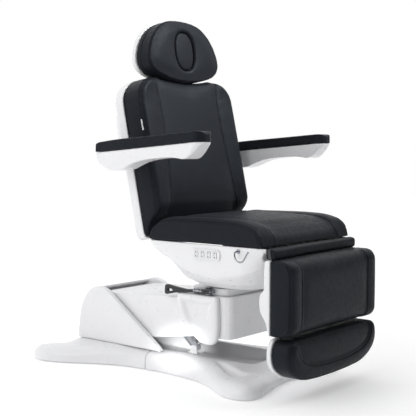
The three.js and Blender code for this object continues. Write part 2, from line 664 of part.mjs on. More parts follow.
// The head slides and tilts on a two-post bracket behind the back cushion.
const HEAD_PIVOT = [
  hingeX - POST.top * Math.sin(lean),
  hingeZ + POST.top * Math.cos(lean),
];
const headEyes = SIDES.map(([, sign]) => cross(9, HEAD_PIVOT, ...between(sign, POST.near, POST.far)));
add('headrest_posts', joined(...headPosts(0), ...headEyes, cross(5, HEAD_PIVOT, -POST.far, POST.far)), STEEL);
const headLugs = SIDES.map(([, sign]) => {
  const [y0, y1] = between(sign, POST.far + 1, POST.far + 11);
  return joined(
    cross(10, HEAD_PIVOT, y0, y1),
    prism(straight([[-38, 4], [-20.3, 4], [-20.3, 52], [-38, 52]]), headSide, -y1, -y0),
  );
});
add('head_bracket', joined(
  ...headLugs,
  prism(straight([[-87, 40], [87, 40], [87, 70], [-87, 70]]), headFace, -30, -20.3),
), BLACK_PLASTIC);

// ---------------------------------------------------------------- arm rests
const [armX, armZ] = ARM.pivot;
const padProfile = rounded([
  [ARM.rear, 901, 5], [ARM.front, 941, 8], [ARM.front, 980, 14], [ARM.rear + 100, 950, 40], [ARM.rear, 938, 12],
]);
const armProfile = rounded([
  [ARM.rear, 900.4, 4], [-318, 862, 24], [-252, 830, 30], [-196, 833, 30], [-120, 866, 40], [-30, 879, 40],
  [70, 884, 40], [138, 874, 30], [184, 900, 24], [ARM.front, 940.4, 5],
]);
SIDES.forEach(([label, sign]) => {
  const [p0, p1] = between(sign, ARM.inner, ARM.outer);
  const [s0, s1] = between(sign, ARM.inner + 3, ARM.outer - 3);
  const [c0, c1] = between(sign, 303.6, ARM.inner + 2.6);
  add(`arm_pad_${label}`, side(padProfile, p0, p1), BLACK_LEATHER);
  add(`arm_shell_${label}`, side(armProfile, s0, s1), WHITE);
  add(`arm_pivot_${label}`, cross(24, [armX, armZ], c0, c1, 24), BLACK_PLASTIC);
});

// ---------------------------------------------------------------- leg rest
const [legX, legZ] = LEG.hinge;
const legArms = (grow) => SIDES.map(([, sign]) => {
  const [y0, y1] = between(sign, 275 - grow, 283 + grow);
  return joined(
    cross(7 + grow, LEG.hinge, y0, y1),
    side(straight([
      [legX - 6 - grow, legZ], [LEG.back - 18 - grow, 508], [LEG.back - 10 - grow, 462],
      [LEG.back - 0.5 + grow, 462], [LEG.back - 0.5 + grow, 506], [legX + 6 + grow, legZ],
    ]), y0, y1),
  );
});
const legPlate = (grow) => box(
  LEG.back - 7 - grow, LEG.back - 0.5 + grow, -285 - grow, 285 + grow, 330 - grow, 470 + grow,
);
const RAIL = { near: 118, far: 130, x0: 386, x1: 393 };
const railRoom = SIDES.map(([, sign]) => {
  const [y0, y1] = between(sign, RAIL.near - 1, RAIL.far + 1);
  return box(RAIL.x0 - 1, RAIL.x1 + 1, y0, y1, 200, 402);
});
add('leg_frame', joined(legPlate(0), ...legArms(0)), PAINTED);
const legBump = sideWide(rounded([
  [LEG.shell + 2, 414], [362, 392, 14], [357, 356, 14], [364, 312, 14], [LEG.shell + 2, 296],
]), 268);
const legSlab = plan(rounded([
  [LEG.shell, -296, 16], [LEG.back - GAP, -303, 2], [LEG.back - GAP, 303, 2], [LEG.shell, 296, 16],
]), LEG.bottom, LEG.top);
add('leg_shell', without(joined(legSlab, legBump), legPlate(1), ...legArms(1), ...railRoom), WHITE);
add('leg_cushion', plan(rounded([
  [LEG.back, -PAD_HALF, 8], [LEG.front, -PAD_HALF, 22], [LEG.front, PAD_HALF, 22], [LEG.back, PAD_HALF, 8],
]), LEG.bottom, LEG.top), BLACK_LEATHER);
add('knee_pad', sideWide(rounded([
  [372, 519.5, 6], [LEG.back - 3, 519.5, 12], [LEG.back - 3, 556, 16], [372, 556, 8],
]), 273), BLACK_LEATHER);

// ---------------------------------------------------------------- foot rest
const footHalf = smooth([
  [0, FOOT.bottom], [110, FOOT.bottom + 2], [200, 80], [262, 104], [300, 138], [FOOT.half, 176], [306, 212],
  [290, 231],
], 16);
const footOutline = mirrored([...footHalf, [270, FOOT.top], [0, FOOT.top]], 0);
const footFace = basis([0, 1, 0], [0, 0, 1]);
add('foot_cushion', prism(straight(footOutline), footFace, FOOT.back, FOOT.front), BLACK_LEATHER);
const footShell = footOutline.map(([y, z]) => [y * 1.01, 154 + (z - 154) * 1.03]);
const railBoss = box(RAIL.x0 - 2, FOOT.shell + 2, -RAIL.far - 12, RAIL.far + 12, 130, 228);
add('foot_shell', joined(prism(straight(footShell), footFace, FOOT.shell, FOOT.back - GAP), railBoss)
  .subtract(joined(
    box(RAIL.x0 - 3, RAIL.x1 + 1, -RAIL.far - 1, RAIL.far + 1, 138, 154),
    ...SIDES.map(([, sign]) => box(
      RAIL.x0 - 3, RAIL.x1 + 1, ...between(sign, RAIL.near - 1, RAIL.far + 1), 138, 260,
    )),
  )), WHITE);
add('foot_rails', joined(
  box(RAIL.x0, RAIL.x1, -RAIL.far, RAIL.far, 140, 152),
  ...SIDES.map(([, sign]) => box(RAIL.x0, RAIL.x1, ...between(sign, RAIL.near, RAIL.far), 140, 400)),
), STEEL);

export default bed;
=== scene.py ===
# Electric facial treatment bed. Metres, +Z up, +X towards the sitter's feet, +Y to the sitter's left.
import json
import math

import bpy
import numpy as np
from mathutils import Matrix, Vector
from mathutils.bvhtree import BVHTree
from mathutils.kdtree import KDTree


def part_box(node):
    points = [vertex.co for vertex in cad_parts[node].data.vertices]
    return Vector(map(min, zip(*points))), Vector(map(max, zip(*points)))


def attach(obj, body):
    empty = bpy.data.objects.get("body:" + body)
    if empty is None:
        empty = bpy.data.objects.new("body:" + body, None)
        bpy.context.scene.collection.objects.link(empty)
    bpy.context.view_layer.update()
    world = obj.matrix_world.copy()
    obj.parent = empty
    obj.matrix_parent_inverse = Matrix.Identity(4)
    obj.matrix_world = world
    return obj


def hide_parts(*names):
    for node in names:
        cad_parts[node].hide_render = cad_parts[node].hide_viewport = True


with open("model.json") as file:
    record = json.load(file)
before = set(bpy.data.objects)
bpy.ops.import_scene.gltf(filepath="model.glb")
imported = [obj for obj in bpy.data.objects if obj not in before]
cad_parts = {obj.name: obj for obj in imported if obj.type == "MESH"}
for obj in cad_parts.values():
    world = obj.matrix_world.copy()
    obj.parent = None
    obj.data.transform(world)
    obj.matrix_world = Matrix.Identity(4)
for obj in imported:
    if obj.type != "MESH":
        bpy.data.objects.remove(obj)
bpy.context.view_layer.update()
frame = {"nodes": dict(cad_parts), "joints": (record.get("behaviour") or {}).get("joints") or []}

NODES = frame["nodes"]
JOINTS = {joint["name"]: joint for joint in frame["joints"]}


# ---------------------------------------------------------------- camera, floor and light
CAMERA_PLACE = (2.3806, -2.86055, 0.904945)
CAMERA_AZIMUTH = 39.2823
CAMERA_DIP = 3.6382
CAMERA_LENS = 76.99
CAMERA_SENSOR = 36


def make_camera():
    data = bpy.data.cameras.new("camera")
    data.lens = CAMERA_LENS
    data.sensor_width = CAMERA_SENSOR
    camera = bpy.data.objects.new("camera", data)
    camera.location = CAMERA_PLACE
    camera.rotation_euler = (math.radians(90 - CAMERA_DIP), 0, math.radians(CAMERA_AZIMUTH))
    bpy.context.collection.objects.link(camera)
    bpy.context.scene.camera = camera


make_camera()


def tree_of(name):
    material = bpy.data.materials.new("look_" + name)
    material.use_nodes = True
    tree = material.node_tree
    return material, tree, tree.nodes["Principled BSDF"]


def node(tree, kind, **settings):
    made = tree.nodes.new(kind)
    for key, value in settings.items():
        if key in made.inputs:
            made.inputs[key].default_value = value
        else:
            setattr(made, key, value)
    return made


def wire(tree, source, target):
    tree.links.new(source, target)


def noise(tree, where, scale, detail=3.0, roughness=0.5):
    made = node(tree, "ShaderNodeTexNoise", Scale=scale, Detail=detail, Roughness=roughness)
    wire(tree, where, made.inputs["Vector"])
    return made.outputs["Fac"]


def spread(tree, source, low, high, start=0.3, end=0.7):
    """source, from start to end, becomes low to high."""
    made = node(tree, "ShaderNodeMapRange")
    for key, value in (("From Min", start), ("From Max", end), ("To Min", low), ("To Max", high)):
        made.inputs[key].default_value = value
    wire(tree, source, made.inputs["Value"])
    return made.outputs["Result"]


def mixed(tree, amount, first, second):
    made = node(tree, "ShaderNodeMix", data_type="RGBA")
    wire(tree, amount, made.inputs["Factor"])
    made.inputs[6].default_value = (*first, 1)
    made.inputs[7].default_value = (*second, 1)
    return made.outputs[2]


def bumped(tree, shader, height, strength, distance, under=None):
    made = node(tree, "ShaderNodeBump", Strength=strength, Distance=distance)
    wire(tree, height, made.inputs["Height"])
    if under is not None:
        wire(tree, under, made.inputs["Normal"])
    wire(tree, made.outputs["Normal"], shader.inputs["Normal"])
    return made.outputs["Normal"]


def places(tree):
    return node(tree, "ShaderNodeTexCoord").outputs["Object"]


def moulded(name, light, dark, roughness, coat=0.0, grain=900, depth=0.00004, metal=0.0, patch=6.0):
    """Moulded or painted material: broad tone drift, uneven gloss and a fine orange-peel surface."""
    material, tree, shader = tree_of(name)
    where = places(tree)
    tone = spread(tree, noise(tree, where, patch), 0, 1)
    wire(tree, mixed(tree, tone, dark, light), shader.inputs["Base Color"])
    gloss = spread(tree, noise(tree, where, patch * 7, 4), roughness * 0.8, roughness * 1.25)
    wire(tree, gloss, shader.inputs["Roughness"])
    shader.inputs["Metallic"].default_value = metal
    shader.inputs["Coat Weight"].default_value = coat
    shader.inputs["Coat Roughness"].default_value = 0.12
    bumped(tree, shader, noise(tree, where, grain, 2), 0.35, depth)
    return material


def leatherette():
    """Matt synthetic leather: fine pebble grain between shallow creases, with a soft sheen."""
    material, tree, shader = tree_of("leatherette")
    where = places(tree)
    tone = spread(tree, noise(tree, where, 5, 4), 0, 1)
    colour = mixed(tree, tone, (0.0092, 0.0103, 0.0132), (0.0122, 0.0136, 0.0174))
    wire(tree, colour, shader.inputs["Base Color"])
    wire(tree, spread(tree, noise(tree, where, 60, 4), 0.40, 0.55), shader.inputs["Roughness"])
    shader.inputs["Specular IOR Level"].default_value = 0.11
    shader.inputs["Specular Tint"].default_value = (0.76, 0.87, 1.0, 1)
    shader.inputs["Sheen Tint"].default_value = (0.76, 0.87, 1.0, 1)
    shader.inputs["Sheen Weight"].default_value = 0.02
    shader.inputs["Sheen Roughness"].default_value = 0.45
    pebble = node(tree, "ShaderNodeTexVoronoi", feature="DISTANCE_TO_EDGE", Scale=620)
    wire(tree, where, pebble.inputs["Vector"])
    grain = bumped(tree, shader, spread(tree, pebble.outputs["Distance"], 0, 1, 0.0, 0.22), 0.28, 0.0002)
    soft = bumped(tree, shader, noise(tree, where, 34, 3), 0.22, 0.0012, grain)
    bumped(tree, shader, noise(tree, where, 240, 2), 0.25, 0.0002, soft)
    return material


# light colour, dark colour, roughness, coat, grain, grain depth, metal
FINISH = {
    "white_plastic": ((0.79, 0.79, 0.805), (0.775, 0.775, 0.792), 0.32, 0.2, 160, 0.000008),
    "black_plastic": ((0.016, 0.0165, 0.018), (0.01, 0.0105, 0.012), 0.42, 0, 700, 0.0001),
    "steel": ((0.46, 0.47, 0.49), (0.36, 0.37, 0.39), 0.34, 0, 500, 0.00005, 0.95),
    "painted_steel": ((0.05, 0.052, 0.057), (0.035, 0.036, 0.04), 0.45, 0.1, 600, 0.0001, 0.3),
    "chrome": ((0.36, 0.37, 0.40), (0.25, 0.26, 0.29), 0.12, 0, 300, 0.00002, 1.0),
    "rubber": ((0.02, 0.02, 0.021), (0.013, 0.013, 0.014), 0.75, 0, 1200, 0.0001),
    # mid-grey for the lift motor: painted shade, matching the shadowed tray floor around it
    "grey_plastic": ((0.33, 0.34, 0.36), (0.29, 0.30, 0.32), 0.5, 0, 500, 0.00005),
    "key_plastic": ((0.74, 0.75, 0.77), (0.69, 0.70, 0.72), 0.38, 0.1),
}
MATERIAL = {name: moulded(name, *finish) for name, finish in FINISH.items()}
MATERIAL["black_leatherette"] = leatherette()


# the chassis is painted white; the motor's grey is painted shade of the tray
PAINT_AND_SHADE = {"base_frame": "white_plastic", "lift_motor": "grey_plastic"}


def dress_frame():
    """Every CAD node takes its slot's material, but the chassis under the covers is painted white, and the
    motor takes a mid-grey that is painted shade, standing in for the tray's shadow.
    """
    for name, thing in NODES.items():
        dress(thing, PAINT_AND_SHADE.get(name) or thing.data.materials[0].name.split(".")[0])


def dress(thing, slot):
    thing.data.materials.clear()
    thing.data.materials.append(MATERIAL[slot])


DARK_SIDE = (0.98, -0.10, -0.15)
FLOOR_GLOW = 0.2


def make_stage():
    """A plain white floor and sky. The sky lights the bed less from the feet's side, but looks white."""
    data = bpy.data.meshes.new("floor")
    reach = 14
    corners = [(-reach, -reach, 0), (reach, -reach, 0), (reach, reach, 0), (-reach, reach, 0)]
    data.from_pydata(corners, [], [(0, 1, 2, 3)])
    floor = bpy.data.objects.new("floor", data)
    bpy.context.collection.objects.link(floor)
    paint = moulded("floor", (0.94, 0.94, 0.943), (0.93, 0.93, 0.933), 0.7, 0, 300)
    lift = paint.node_tree.nodes["Principled BSDF"].inputs
    lift["Emission Color"].default_value = (1, 1, 1, 1)
    lift["Emission Strength"].default_value = FLOOR_GLOW
    data.materials.append(paint)
    world = bpy.data.worlds.new("studio")
    world.use_nodes = True
    tree = world.node_tree
    background = tree.nodes["Background"]
    facing = node(tree, "ShaderNodeVectorMath", operation="DOT_PRODUCT")
    wire(tree, node(tree, "ShaderNodeTexCoord").outputs["Generated"], facing.inputs[0])
    facing.inputs[1].default_value = DARK_SIDE
    lighting = spread(tree, facing.outputs["Value"], 1.0, 0.06, -0.20, 0.60)
    seen = node(tree, "ShaderNodeLightPath").outputs["Is Camera Ray"]
    brighter = node(tree, "ShaderNodeMath", operation="MAXIMUM")
    wire(tree, lighting, brighter.inputs[0])
    wire(tree, seen, brighter.inputs[1])
    wire(tree, brighter.outputs["Value"], background.inputs["Strength"])
    background.inputs["Color"].default_value = (1.0, 1.0, 1.0, 1)
    bpy.context.scene.world = world
    bpy.context.scene.view_settings.view_transform = "Standard"


def area_light(name, place, target, size, power, spread_angle=180):
    data = bpy.data.lights.new(name, "AREA")
    data.spread = math.radians(spread_angle)
    data.shape = "RECTANGLE"
    data.size, data.size_y = size
    data.energy = power
    light = bpy.data.objects.new(name, data)
    light.location = place
    light.rotation_euler = (Vector(target) - Vector(place)).to_track_quat("-Z", "Y").to_euler()
    bpy.context.collection.objects.link(light)


def sky_light(name, strength, spread_angle):
    """A very soft light from straight above."""
    data = bpy.data.lights.new(name, "SUN")
    data.energy = strength
    data.angle = math.radians(spread_angle)
    light = bpy.data.objects.new(name, data)
    bpy.context.collection.objects.link(light)


make_stage()
area_light("key_light", (-0.2, -3.5, 2.4), (0, 0, 0.5), (2.4, 1.8), 30)
area_light("upper_light", (1.5, 0.9, 2.5), (-0.12, 0, 1.05), (1.0, 0.8), 6.5, 50)
area_light("tray_light", (1.35, -1.75, 0.55), (-0.20, 0.11, 0.03), (0.12, 0.05), 0.13, 6)
sky_light("top_light", 0.5, 100)
dress_frame()

# ---------------------------------------------------------------- frames of the moving parts
class Place:
    """A tilted frame: across is the sitter's left, up along the part, out away from its front face."""

    def __init__(self, origin, lean):
        angle = math.radians(lean)
        self.origin = np.array(origin, float)
        self.up = np.array((-math.sin(angle), 0, math.cos(angle)))
        self.out = np.array((math.cos(angle), 0, math.sin(angle)))
        self.across = np.array((0.0, 1.0, 0.0))

    def local(self, points):
        away = np.asarray(points, float) - self.origin
        return np.stack((away @ self.across, away @ self.up, away @ self.out), axis=1)

    def world(self, across, up, out):
        return self.origin + across * self.across + up * self.up + out * self.out

    def placed(self, points):
        return [tuple(self.world(*point)) for point in points]


def joint_place(name):
    return np.array(JOINTS[name]["pos_m"], float)


SWIVEL = joint_place("swivel")[0]
BACK = Place(joint_place("back_recline"), 12.2)
HEAD = Place((SWIVEL - 0.3118, 0, 1.186), 7)
UPRIGHT = Place((SWIVEL, 0, 0), 0)


# ---------------------------------------------------------------- mesh tools
def new_thing(name, points, faces, slot=None):
    data = bpy.data.meshes.new(name)
    data.from_pydata([tuple(p) for p in points], [], faces)
    data.update()
    thing = bpy.data.objects.new(name, data)
    bpy.context.collection.objects.link(thing)
    if slot:
        finish_as(thing, slot)
    return thing


def finish_as(thing, slot):
    dress(thing, slot)


def smooth_shaded(thing):
    thing.data.polygons.foreach_set("use_smooth", [True] * len(thing.data.polygons))
    thing.data.update()


def copy_of(name, *nodes):
    """One object holding the welded meshes of CAD nodes."""
    points, faces = [], []
    for source in nodes:
        mesh = NODES[source].data
        seen = {}
        index = []
        for vertex in mesh.vertices:
            key = tuple(round(c, 6) for c in vertex.co)
            if key not in seen:
                seen[key] = len(points)
                points.append(key)
            index.append(seen[key])
        for polygon in mesh.polygons:
            face = [index[v] for v in polygon.vertices]
            if len(set(face)) == len(face):
                faces.append(face)
    return new_thing(name, points, faces)


def settled(thing):
    """Applies the modifiers of an object."""
    graph = bpy.context.evaluated_depsgraph_get()
    graph.update()
    final = thing.evaluated_get(graph)
    mesh = bpy.data.meshes.new_from_object(final, preserve_all_data_layers=False, depsgraph=graph)
    old = thing.data
    thing.modifiers.clear()
    thing.data = mesh
    mesh.name = thing.name
    bpy.data.meshes.remove(old)
    return thing


def voxelised(thing, size):
    modifier = thing.modifiers.new("remesh", "REMESH")
    modifier.mode = "VOXEL"
    modifier.voxel_size = size
    return settled(thing)


def subdivided(thing):
    modifier = thing.modifiers.new("subdivide", "SUBSURF")
    modifier.levels = modifier.render_levels = 1
    return settled(thing)


def spots(thing):
    points = np.zeros(len(thing.data.vertices) * 3, np.float32)
    thing.data.vertices.foreach_get("co", points)
    return points.reshape(-1, 3).astype(float)


def normals(thing):
    thing.data.update()
    found = np.zeros(len(thing.data.vertices) * 3, np.float32)
    thing.data.vertices.foreach_get("normal", found)
    return found.reshape(-1, 3).astype(float)


def put(thing, points):
    thing.data.vertices.foreach_set("co", np.asarray(points, np.float32).ravel())
    thing.data.update()


def edges_of(thing):
    pairs = np.zeros(len(thing.data.edges) * 2, np.int32)
    thing.data.edges.foreach_get("vertices", pairs)
    return pairs.reshape(-1, 2)


def relaxed(thing, rounds, shrink=0.5, grow=-0.53):
    """Low-pass smoothing that rounds edges without shrinking the whole."""
    points = spots(thing)
    pairs = edges_of(thing)
    first = np.concatenate((pairs[:, 0], pairs[:, 1]))
    second = np.concatenate((pairs[:, 1], pairs[:, 0]))
    count = np.maximum(np.bincount(first, minlength=len(points)), 1)[:, None]
    for _ in range(rounds):
        for factor in (shrink, grow):
            total = np.stack(
                [np.bincount(first, points[second, k], minlength=len(points)) for k in range(3)], axis=1
            )
            points = points + factor * (total / count - points)
    put(thing, points)
    return thing


def ease(value, start, end):
    t = np.clip((value - start) / (end - start), 0, 1)
    return t * t * (3 - 2 * t)


def bell(value, width):
    return np.exp(-((value / width) ** 2))


def curve_through(points, step=0.004, closed=False):
    """Points a step apart along a smooth curve through the given ones."""
    given = np.array(points, float)
    count = len(given)
    out = []
    spans = count if closed else count - 1
    for i in range(spans):
        if closed:
            a, b, c, d = (given[(i + k) % count] for k in (-1, 0, 1, 2))
        else:
            a, b, c, d = given[max(i - 1, 0)], given[i], given[i + 1], given[min(i + 2, count - 1)]
        pieces = max(2, int(np.linalg.norm(c - b) / step))
        for k in range(pieces):
            t = k / pieces
            out.append(0.5 * (2 * b + (c - a) * t + (2 * a - 5 * b + 4 * c - d) * t ** 2
                              + (3 * b - a - 3 * c + d) * t ** 3))
    if not closed:
        out.append(given[-1])
    return np.array(out)


def surface_of(thing):
    mesh = thing.data
    return BVHTree.FromPolygons([v.co for v in mesh.vertices], [tuple(p.vertices) for p in mesh.polygons])


def laid_on(tree, points):
    """Each point moved to the nearest place on the surface, and the surface's normals there."""
    places_on, ups = [], []
    for point in points:
        place, normal, _, _ = tree.find_nearest(Vector(point))
        places_on.append(np.array(place))
        ups.append(np.array(normal))
    return np.array(places_on), np.array(ups)


def pressed(thing, lines, width, depth, shoulder=0.0):
    """Presses a channel along lines into the surface, with a low shoulder on both sides of it."""
    tree = KDTree(sum(len(line) for line in lines))
    index = 0
    for line in lines:
        for point in line:
            tree.insert(Vector(point), index)
            index += 1
    tree.balance()
    points, up = spots(thing), normals(thing)
    low, high = np.min(np.concatenate(lines), axis=0), np.max(np.concatenate(lines), axis=0)
    reach = 4 * width
    near = np.flatnonzero(np.all((points > low - reach) & (points < high + reach), axis=1))
    gap = np.array([tree.find(Vector(points[i]))[2] for i in near])
    move = -depth * bell(gap, width) + shoulder * bell(gap - 2.2 * width, width)
    points[near] += up[near] * move[:, None]
    put(thing, points)
    return thing


def ring_faces(rings, sides, start=0):
    """Four-sided faces that join each ring of points to the next."""
    faces = []
    for ring in range(rings - 1):
        low, high = start + ring * sides, start + (ring + 1) * sides
        for k in range(sides):
            m = (k + 1) % sides
            faces.append((low + k, low + m, high + m, high + k))
    return faces


def end_faces(rings, sides, start=0):
    """The faces that close the first and the last ring."""
    last = start + (rings - 1) * sides
    return [tuple(start + k for k in range(sides))[::-1], tuple(last + k for k in range(sides))]


def guide_for(direction):
    """Straight up, or along X where the direction itself is nearly upright."""
    return np.array((0.0, 0.0, 1.0)) if abs(direction[2]) < 0.9 else np.array((1.0, 0.0, 0.0))


def tube(name, path, radius, sides):
    path = np.array(path, float)
    ahead = np.roll(path, -1, 0) - np.roll(path, 1, 0)
    ahead[0], ahead[-1] = path[1] - path[0], path[-1] - path[-2]
    ahead /= np.linalg.norm(ahead, axis=1)[:, None] + 1e-12
    ups = []
    guide = guide_for(ahead[0])
    for direction in ahead:
        guide = guide - direction * (guide @ direction)
        guide = guide / (np.linalg.norm(guide) + 1e-12)
        ups.append(guide)
    ups = np.array(ups, float)
    ups = ups - ahead * np.sum(ups * ahead, axis=1)[:, None]
    ups /= np.linalg.norm(ups, axis=1)[:, None] + 1e-12
    beside = np.cross(ahead, ups)
    points = []
    for i in range(len(path)):
        for k in range(sides):
            angle = 2 * math.pi * k / sides
            points.append(path[i] + radius * (math.cos(angle) * beside[i] + math.sin(angle) * ups[i]))
    faces = ring_faces(len(path), sides) + end_faces(len(path), sides)
    made = new_thing(name, points, [face[::-1] for face in faces])
    smooth_shaded(made)
    return made


def removed(thing):
    mesh = thing.data
    bpy.data.objects.remove(thing)
    bpy.data.meshes.remove(mesh)


def joined_things(name, things, slot):
    points, faces = [], []
    for thing in things:
        start = len(points)
        points += [tuple(v.co) for v in thing.data.vertices]
        faces += [tuple(start + v for v in p.vertices) for p in thing.data.polygons]
        removed(thing)
    made = new_thing(name, points, faces, slot)
    smooth_shaded(made)
    return made


STITCH_PITCH = 0.0062
STITCH_LENGTH = 0.0042
THREAD = 0.00055


def stitched(name, tree, lines, offsets):
    """Rows of stitches beside seam lines. Each is a short thread that dips into the leather at both ends."""
    points, faces = [], []
    profile = [(-0.5, -1.6), (-0.34, 0.7), (0.0, 1.25), (0.34, 0.7), (0.5, -1.6)]
    for line in lines:
        on, up = laid_on(tree, line)
        along = np.gradient(on, axis=0)
        along /= np.linalg.norm(along, axis=1)[:, None] + 1e-12
        for offset in offsets:
            row = on + np.cross(along, up) * offset
            row, ups = laid_on(tree, row)
            length = np.concatenate(([0], np.cumsum(np.linalg.norm(np.diff(row, axis=0), axis=1))))
            for middle in np.arange(STITCH_PITCH, length[-1] - STITCH_PITCH, STITCH_PITCH):
                at = np.array([np.interp(middle, length, row[:, k]) for k in range(3)])
                i = min(np.searchsorted(length, middle), len(row) - 1)
                u, a = ups[i], along[min(i, len(along) - 1)]
                b = np.cross(a, u)
                start = len(points)
                for s, h in profile:
                    centre = at + a * (s * STITCH_LENGTH) + u * (h * THREAD)
                    for k in range(4):
                        angle = math.pi * (0.25 + 0.5 * k)
                        points.append(centre + THREAD * (math.cos(angle) * b + math.sin(angle) * u))
                faces += ring_faces(len(profile), 4, start) + end_faces(len(profile), 4, start)
    made = new_thing(name, points, faces, "black_leatherette")
    smooth_shaded(made)
    return made


# ---------------------------------------------------------------- upholstery
TAUT_ROUNDS = 40  # how far the swelling is evened out, as taut leather does
WRINKLE_SHARE = 0.12


def soft_copy(name, node_name, voxel, inside, rounds):
    """A cushion's starting shape: the CAD solid drawn in a little, remeshed and rounded."""
    thing = copy_of(name, node_name)
    points = spots(thing)
    middle = (points.min(0) + points.max(0)) / 2
    half = (points.max(0) - points.min(0)) / 2
    put(thing, middle + (points - middle) * (1 - inside / half))
    voxelised(thing, voxel)
    return relaxed(thing, rounds)


def puffed(jobs):
    """Cloth simulation of all cushions together. Each skin swells between its sewn and glued places, and no
    point moves more than its cap."""
    scene = bpy.context.scene
    starts = {}
    for thing, held, pressure, cap in jobs:
        group = thing.vertex_groups.new(name="held")
        for level in range(1, 11):
            chosen = np.flatnonzero(np.round(held * 10) == level)
            if len(chosen):
                group.add([int(i) for i in chosen], level / 10, "REPLACE")
        cloth = thing.modifiers.new("cloth", "CLOTH")
        settings = cloth.settings
        settings.quality = 4
        settings.mass = 0.3
        settings.tension_stiffness = 18
        settings.compression_stiffness = 18
        settings.shear_stiffness = 6
        settings.bending_stiffness = 1.2
        settings.use_pressure = True
        settings.uniform_pressure_force = pressure
        settings.effector_weights.gravity = 0
        settings.vertex_group_mass = "held"
        settings.pin_stiffness = 1
        cloth.collision_settings.use_collision = False
        cloth.point_cache.frame_start = 1
        cloth.point_cache.frame_end = 20
        starts[thing.name] = spots(thing)
    for step in range(1, 21):
        scene.frame_set(step)
    for thing, held, pressure, cap in jobs:
        settled(thing)
        start = starts[thing.name]
        move = spots(thing) - start
        size = np.linalg.norm(move, axis=1)[:, None] + 1e-12
        move = move * np.minimum(1, cap / size)
        put(thing, move)
        relaxed(thing, TAUT_ROUNDS, 0.6, 0.0)
        put(thing, start + spots(thing) + WRINKLE_SHARE * (move - spots(thing)))
        relaxed(thing, 2)
    scene.frame_set(1)


def hull_of(flat):
    """Corner points of the smallest convex outline round 2-D points."""
    ordered = sorted({(round(float(a), 5), round(float(b), 5)) for a, b in flat})
    sides_found = []
    for run in (ordered, ordered[::-1]):
        chain = []
        for point in run:
            while len(chain) > 1:
                (ax, ay), (bx, by) = chain[-2], chain[-1]
                if (bx - ax) * (point[1] - ay) - (by - ay) * (point[0] - ax) > 0:
                    break
                chain.pop()
            chain.append(point)
        sides_found += chain[:-1]
    return np.array(sides_found)


def flat_of(node_name, place):
    """Where a CAD node's corners lie on a frame's face."""
    return place.local([v.co for v in NODES[node_name].data.vertices])[:, :2]


def edge_gap(flat, outline):
    """Distance of 2-D points to a closed outline, negative outside it."""
    best = np.full(len(flat), 1e9)
    crossed = np.zeros(len(flat), bool)
    for a, b in zip(outline, np.roll(outline, -1, 0)):
        along = b - a
        share = np.clip(((flat - a) @ along) / (along @ along + 1e-15), 0, 1)
        best = np.minimum(best, np.linalg.norm(flat - a - share[:, None] * along, axis=1))
        over = (a[1] > flat[:, 1]) != (b[1] > flat[:, 1])
        if abs(along[1]) > 1e-12:
            crossed ^= over & (flat[:, 0] < a[0] + (flat[:, 1] - a[1]) / along[1] * along[0])
    return np.where(crossed, best, -best)


def crowned(thing, place, outline, back, front, radius, crown=0.0):
    """Rounds the front edge of a slab to a radius and lets its face swell towards the middle."""
    spot = place.local(spots(thing))
    gap = edge_gap(spot[:, :2], outline)
    near = np.clip(1 - np.maximum(gap, 0) / radius, 0, 1)
    drop = radius * (1 - np.sqrt(np.maximum(0, 1 - near ** 2)))
    rise = crown * (1 - (1 - np.clip(gap / max(gap.max(), 1e-6), 0, 1)) ** 2)
    share = np.clip((spot[:, 2] - back) / (front - back), 0, 1)
    spot[:, 2] += share * (rise - drop)
    across, up, out = spot[:, :1] * place.across, spot[:, 1:2] * place.up, spot[:, 2:] * place.out
    put(thing, place.world(0, 0, 0) + across + up + out)
    return thing


def moved_out(thing, place, amount):
    put(thing, spots(thing) + np.asarray(amount)[:, None] * place.out)
    return thing


def both(points):
    """A line and its mirror image on the other side of the bed."""
    line = curve_through(points)
    return [line, line * np.array((1, -1, 1))]


def near_line(points, lines, reach):
    every = np.concatenate([line[::3] for line in lines])
    best = np.full(len(points), 1e9)
    for start in range(0, len(every), 64):
        part = every[start:start + 64]
        best = np.minimum(best, np.linalg.norm(points[:, None] - part[None], axis=2).min(1))
    return bell(best, reach)


def held_where(points, facing, seams, reach):
    """How firmly each point is held: fully on the back, where it is glued, and nearly so along the seams."""
    return np.maximum(ease(-facing, 0.3, 0.7), 0.9 * near_line(points, seams, reach))


def stepped(origin, steps):
    """Points a step away from an origin."""
    return [tuple(start + step for start, step in zip(origin, row)) for row in steps]


PAD_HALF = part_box("seat_cushion")[1][1]
SEAT_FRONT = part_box("seat_cushion")[1][0]
SEAT_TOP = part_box("seat_cushion")[1][2]
SEAT_PANEL = 0.207

seat_panel_seams = both(stepped((SWIVEL, SEAT_PANEL, SEAT_TOP), [
    (-0.10, -0.004, 0), (0.06, -0.004, 0.002), (0.20, 0, 0), (0.276, 0, -0.004), (0.325, 0.001, -0.016),
]) + stepped((SEAT_FRONT, SEAT_PANEL, SEAT_TOP), [
    (-0.018, 0.003, -0.036), (-0.008, 0.006, -0.06), (0, 0.010, -0.088),
]))
seat_edge_seams = both(stepped((SWIVEL, PAD_HALF, SEAT_TOP), [
    (-0.172, 0, -0.066), (-0.14, 0, -0.036), (-0.08, -0.002, -0.014), (0, -0.002, -0.010),
    (0.2, -0.002, -0.012), (0.267, -0.002, -0.016), (0.302, -0.002, -0.024), (0.330, -0.002, -0.036),
]) + stepped((SEAT_FRONT, PAD_HALF, SEAT_TOP), [(-0.023, -0.002, -0.056), (-0.012, -0.002, -0.088)]))


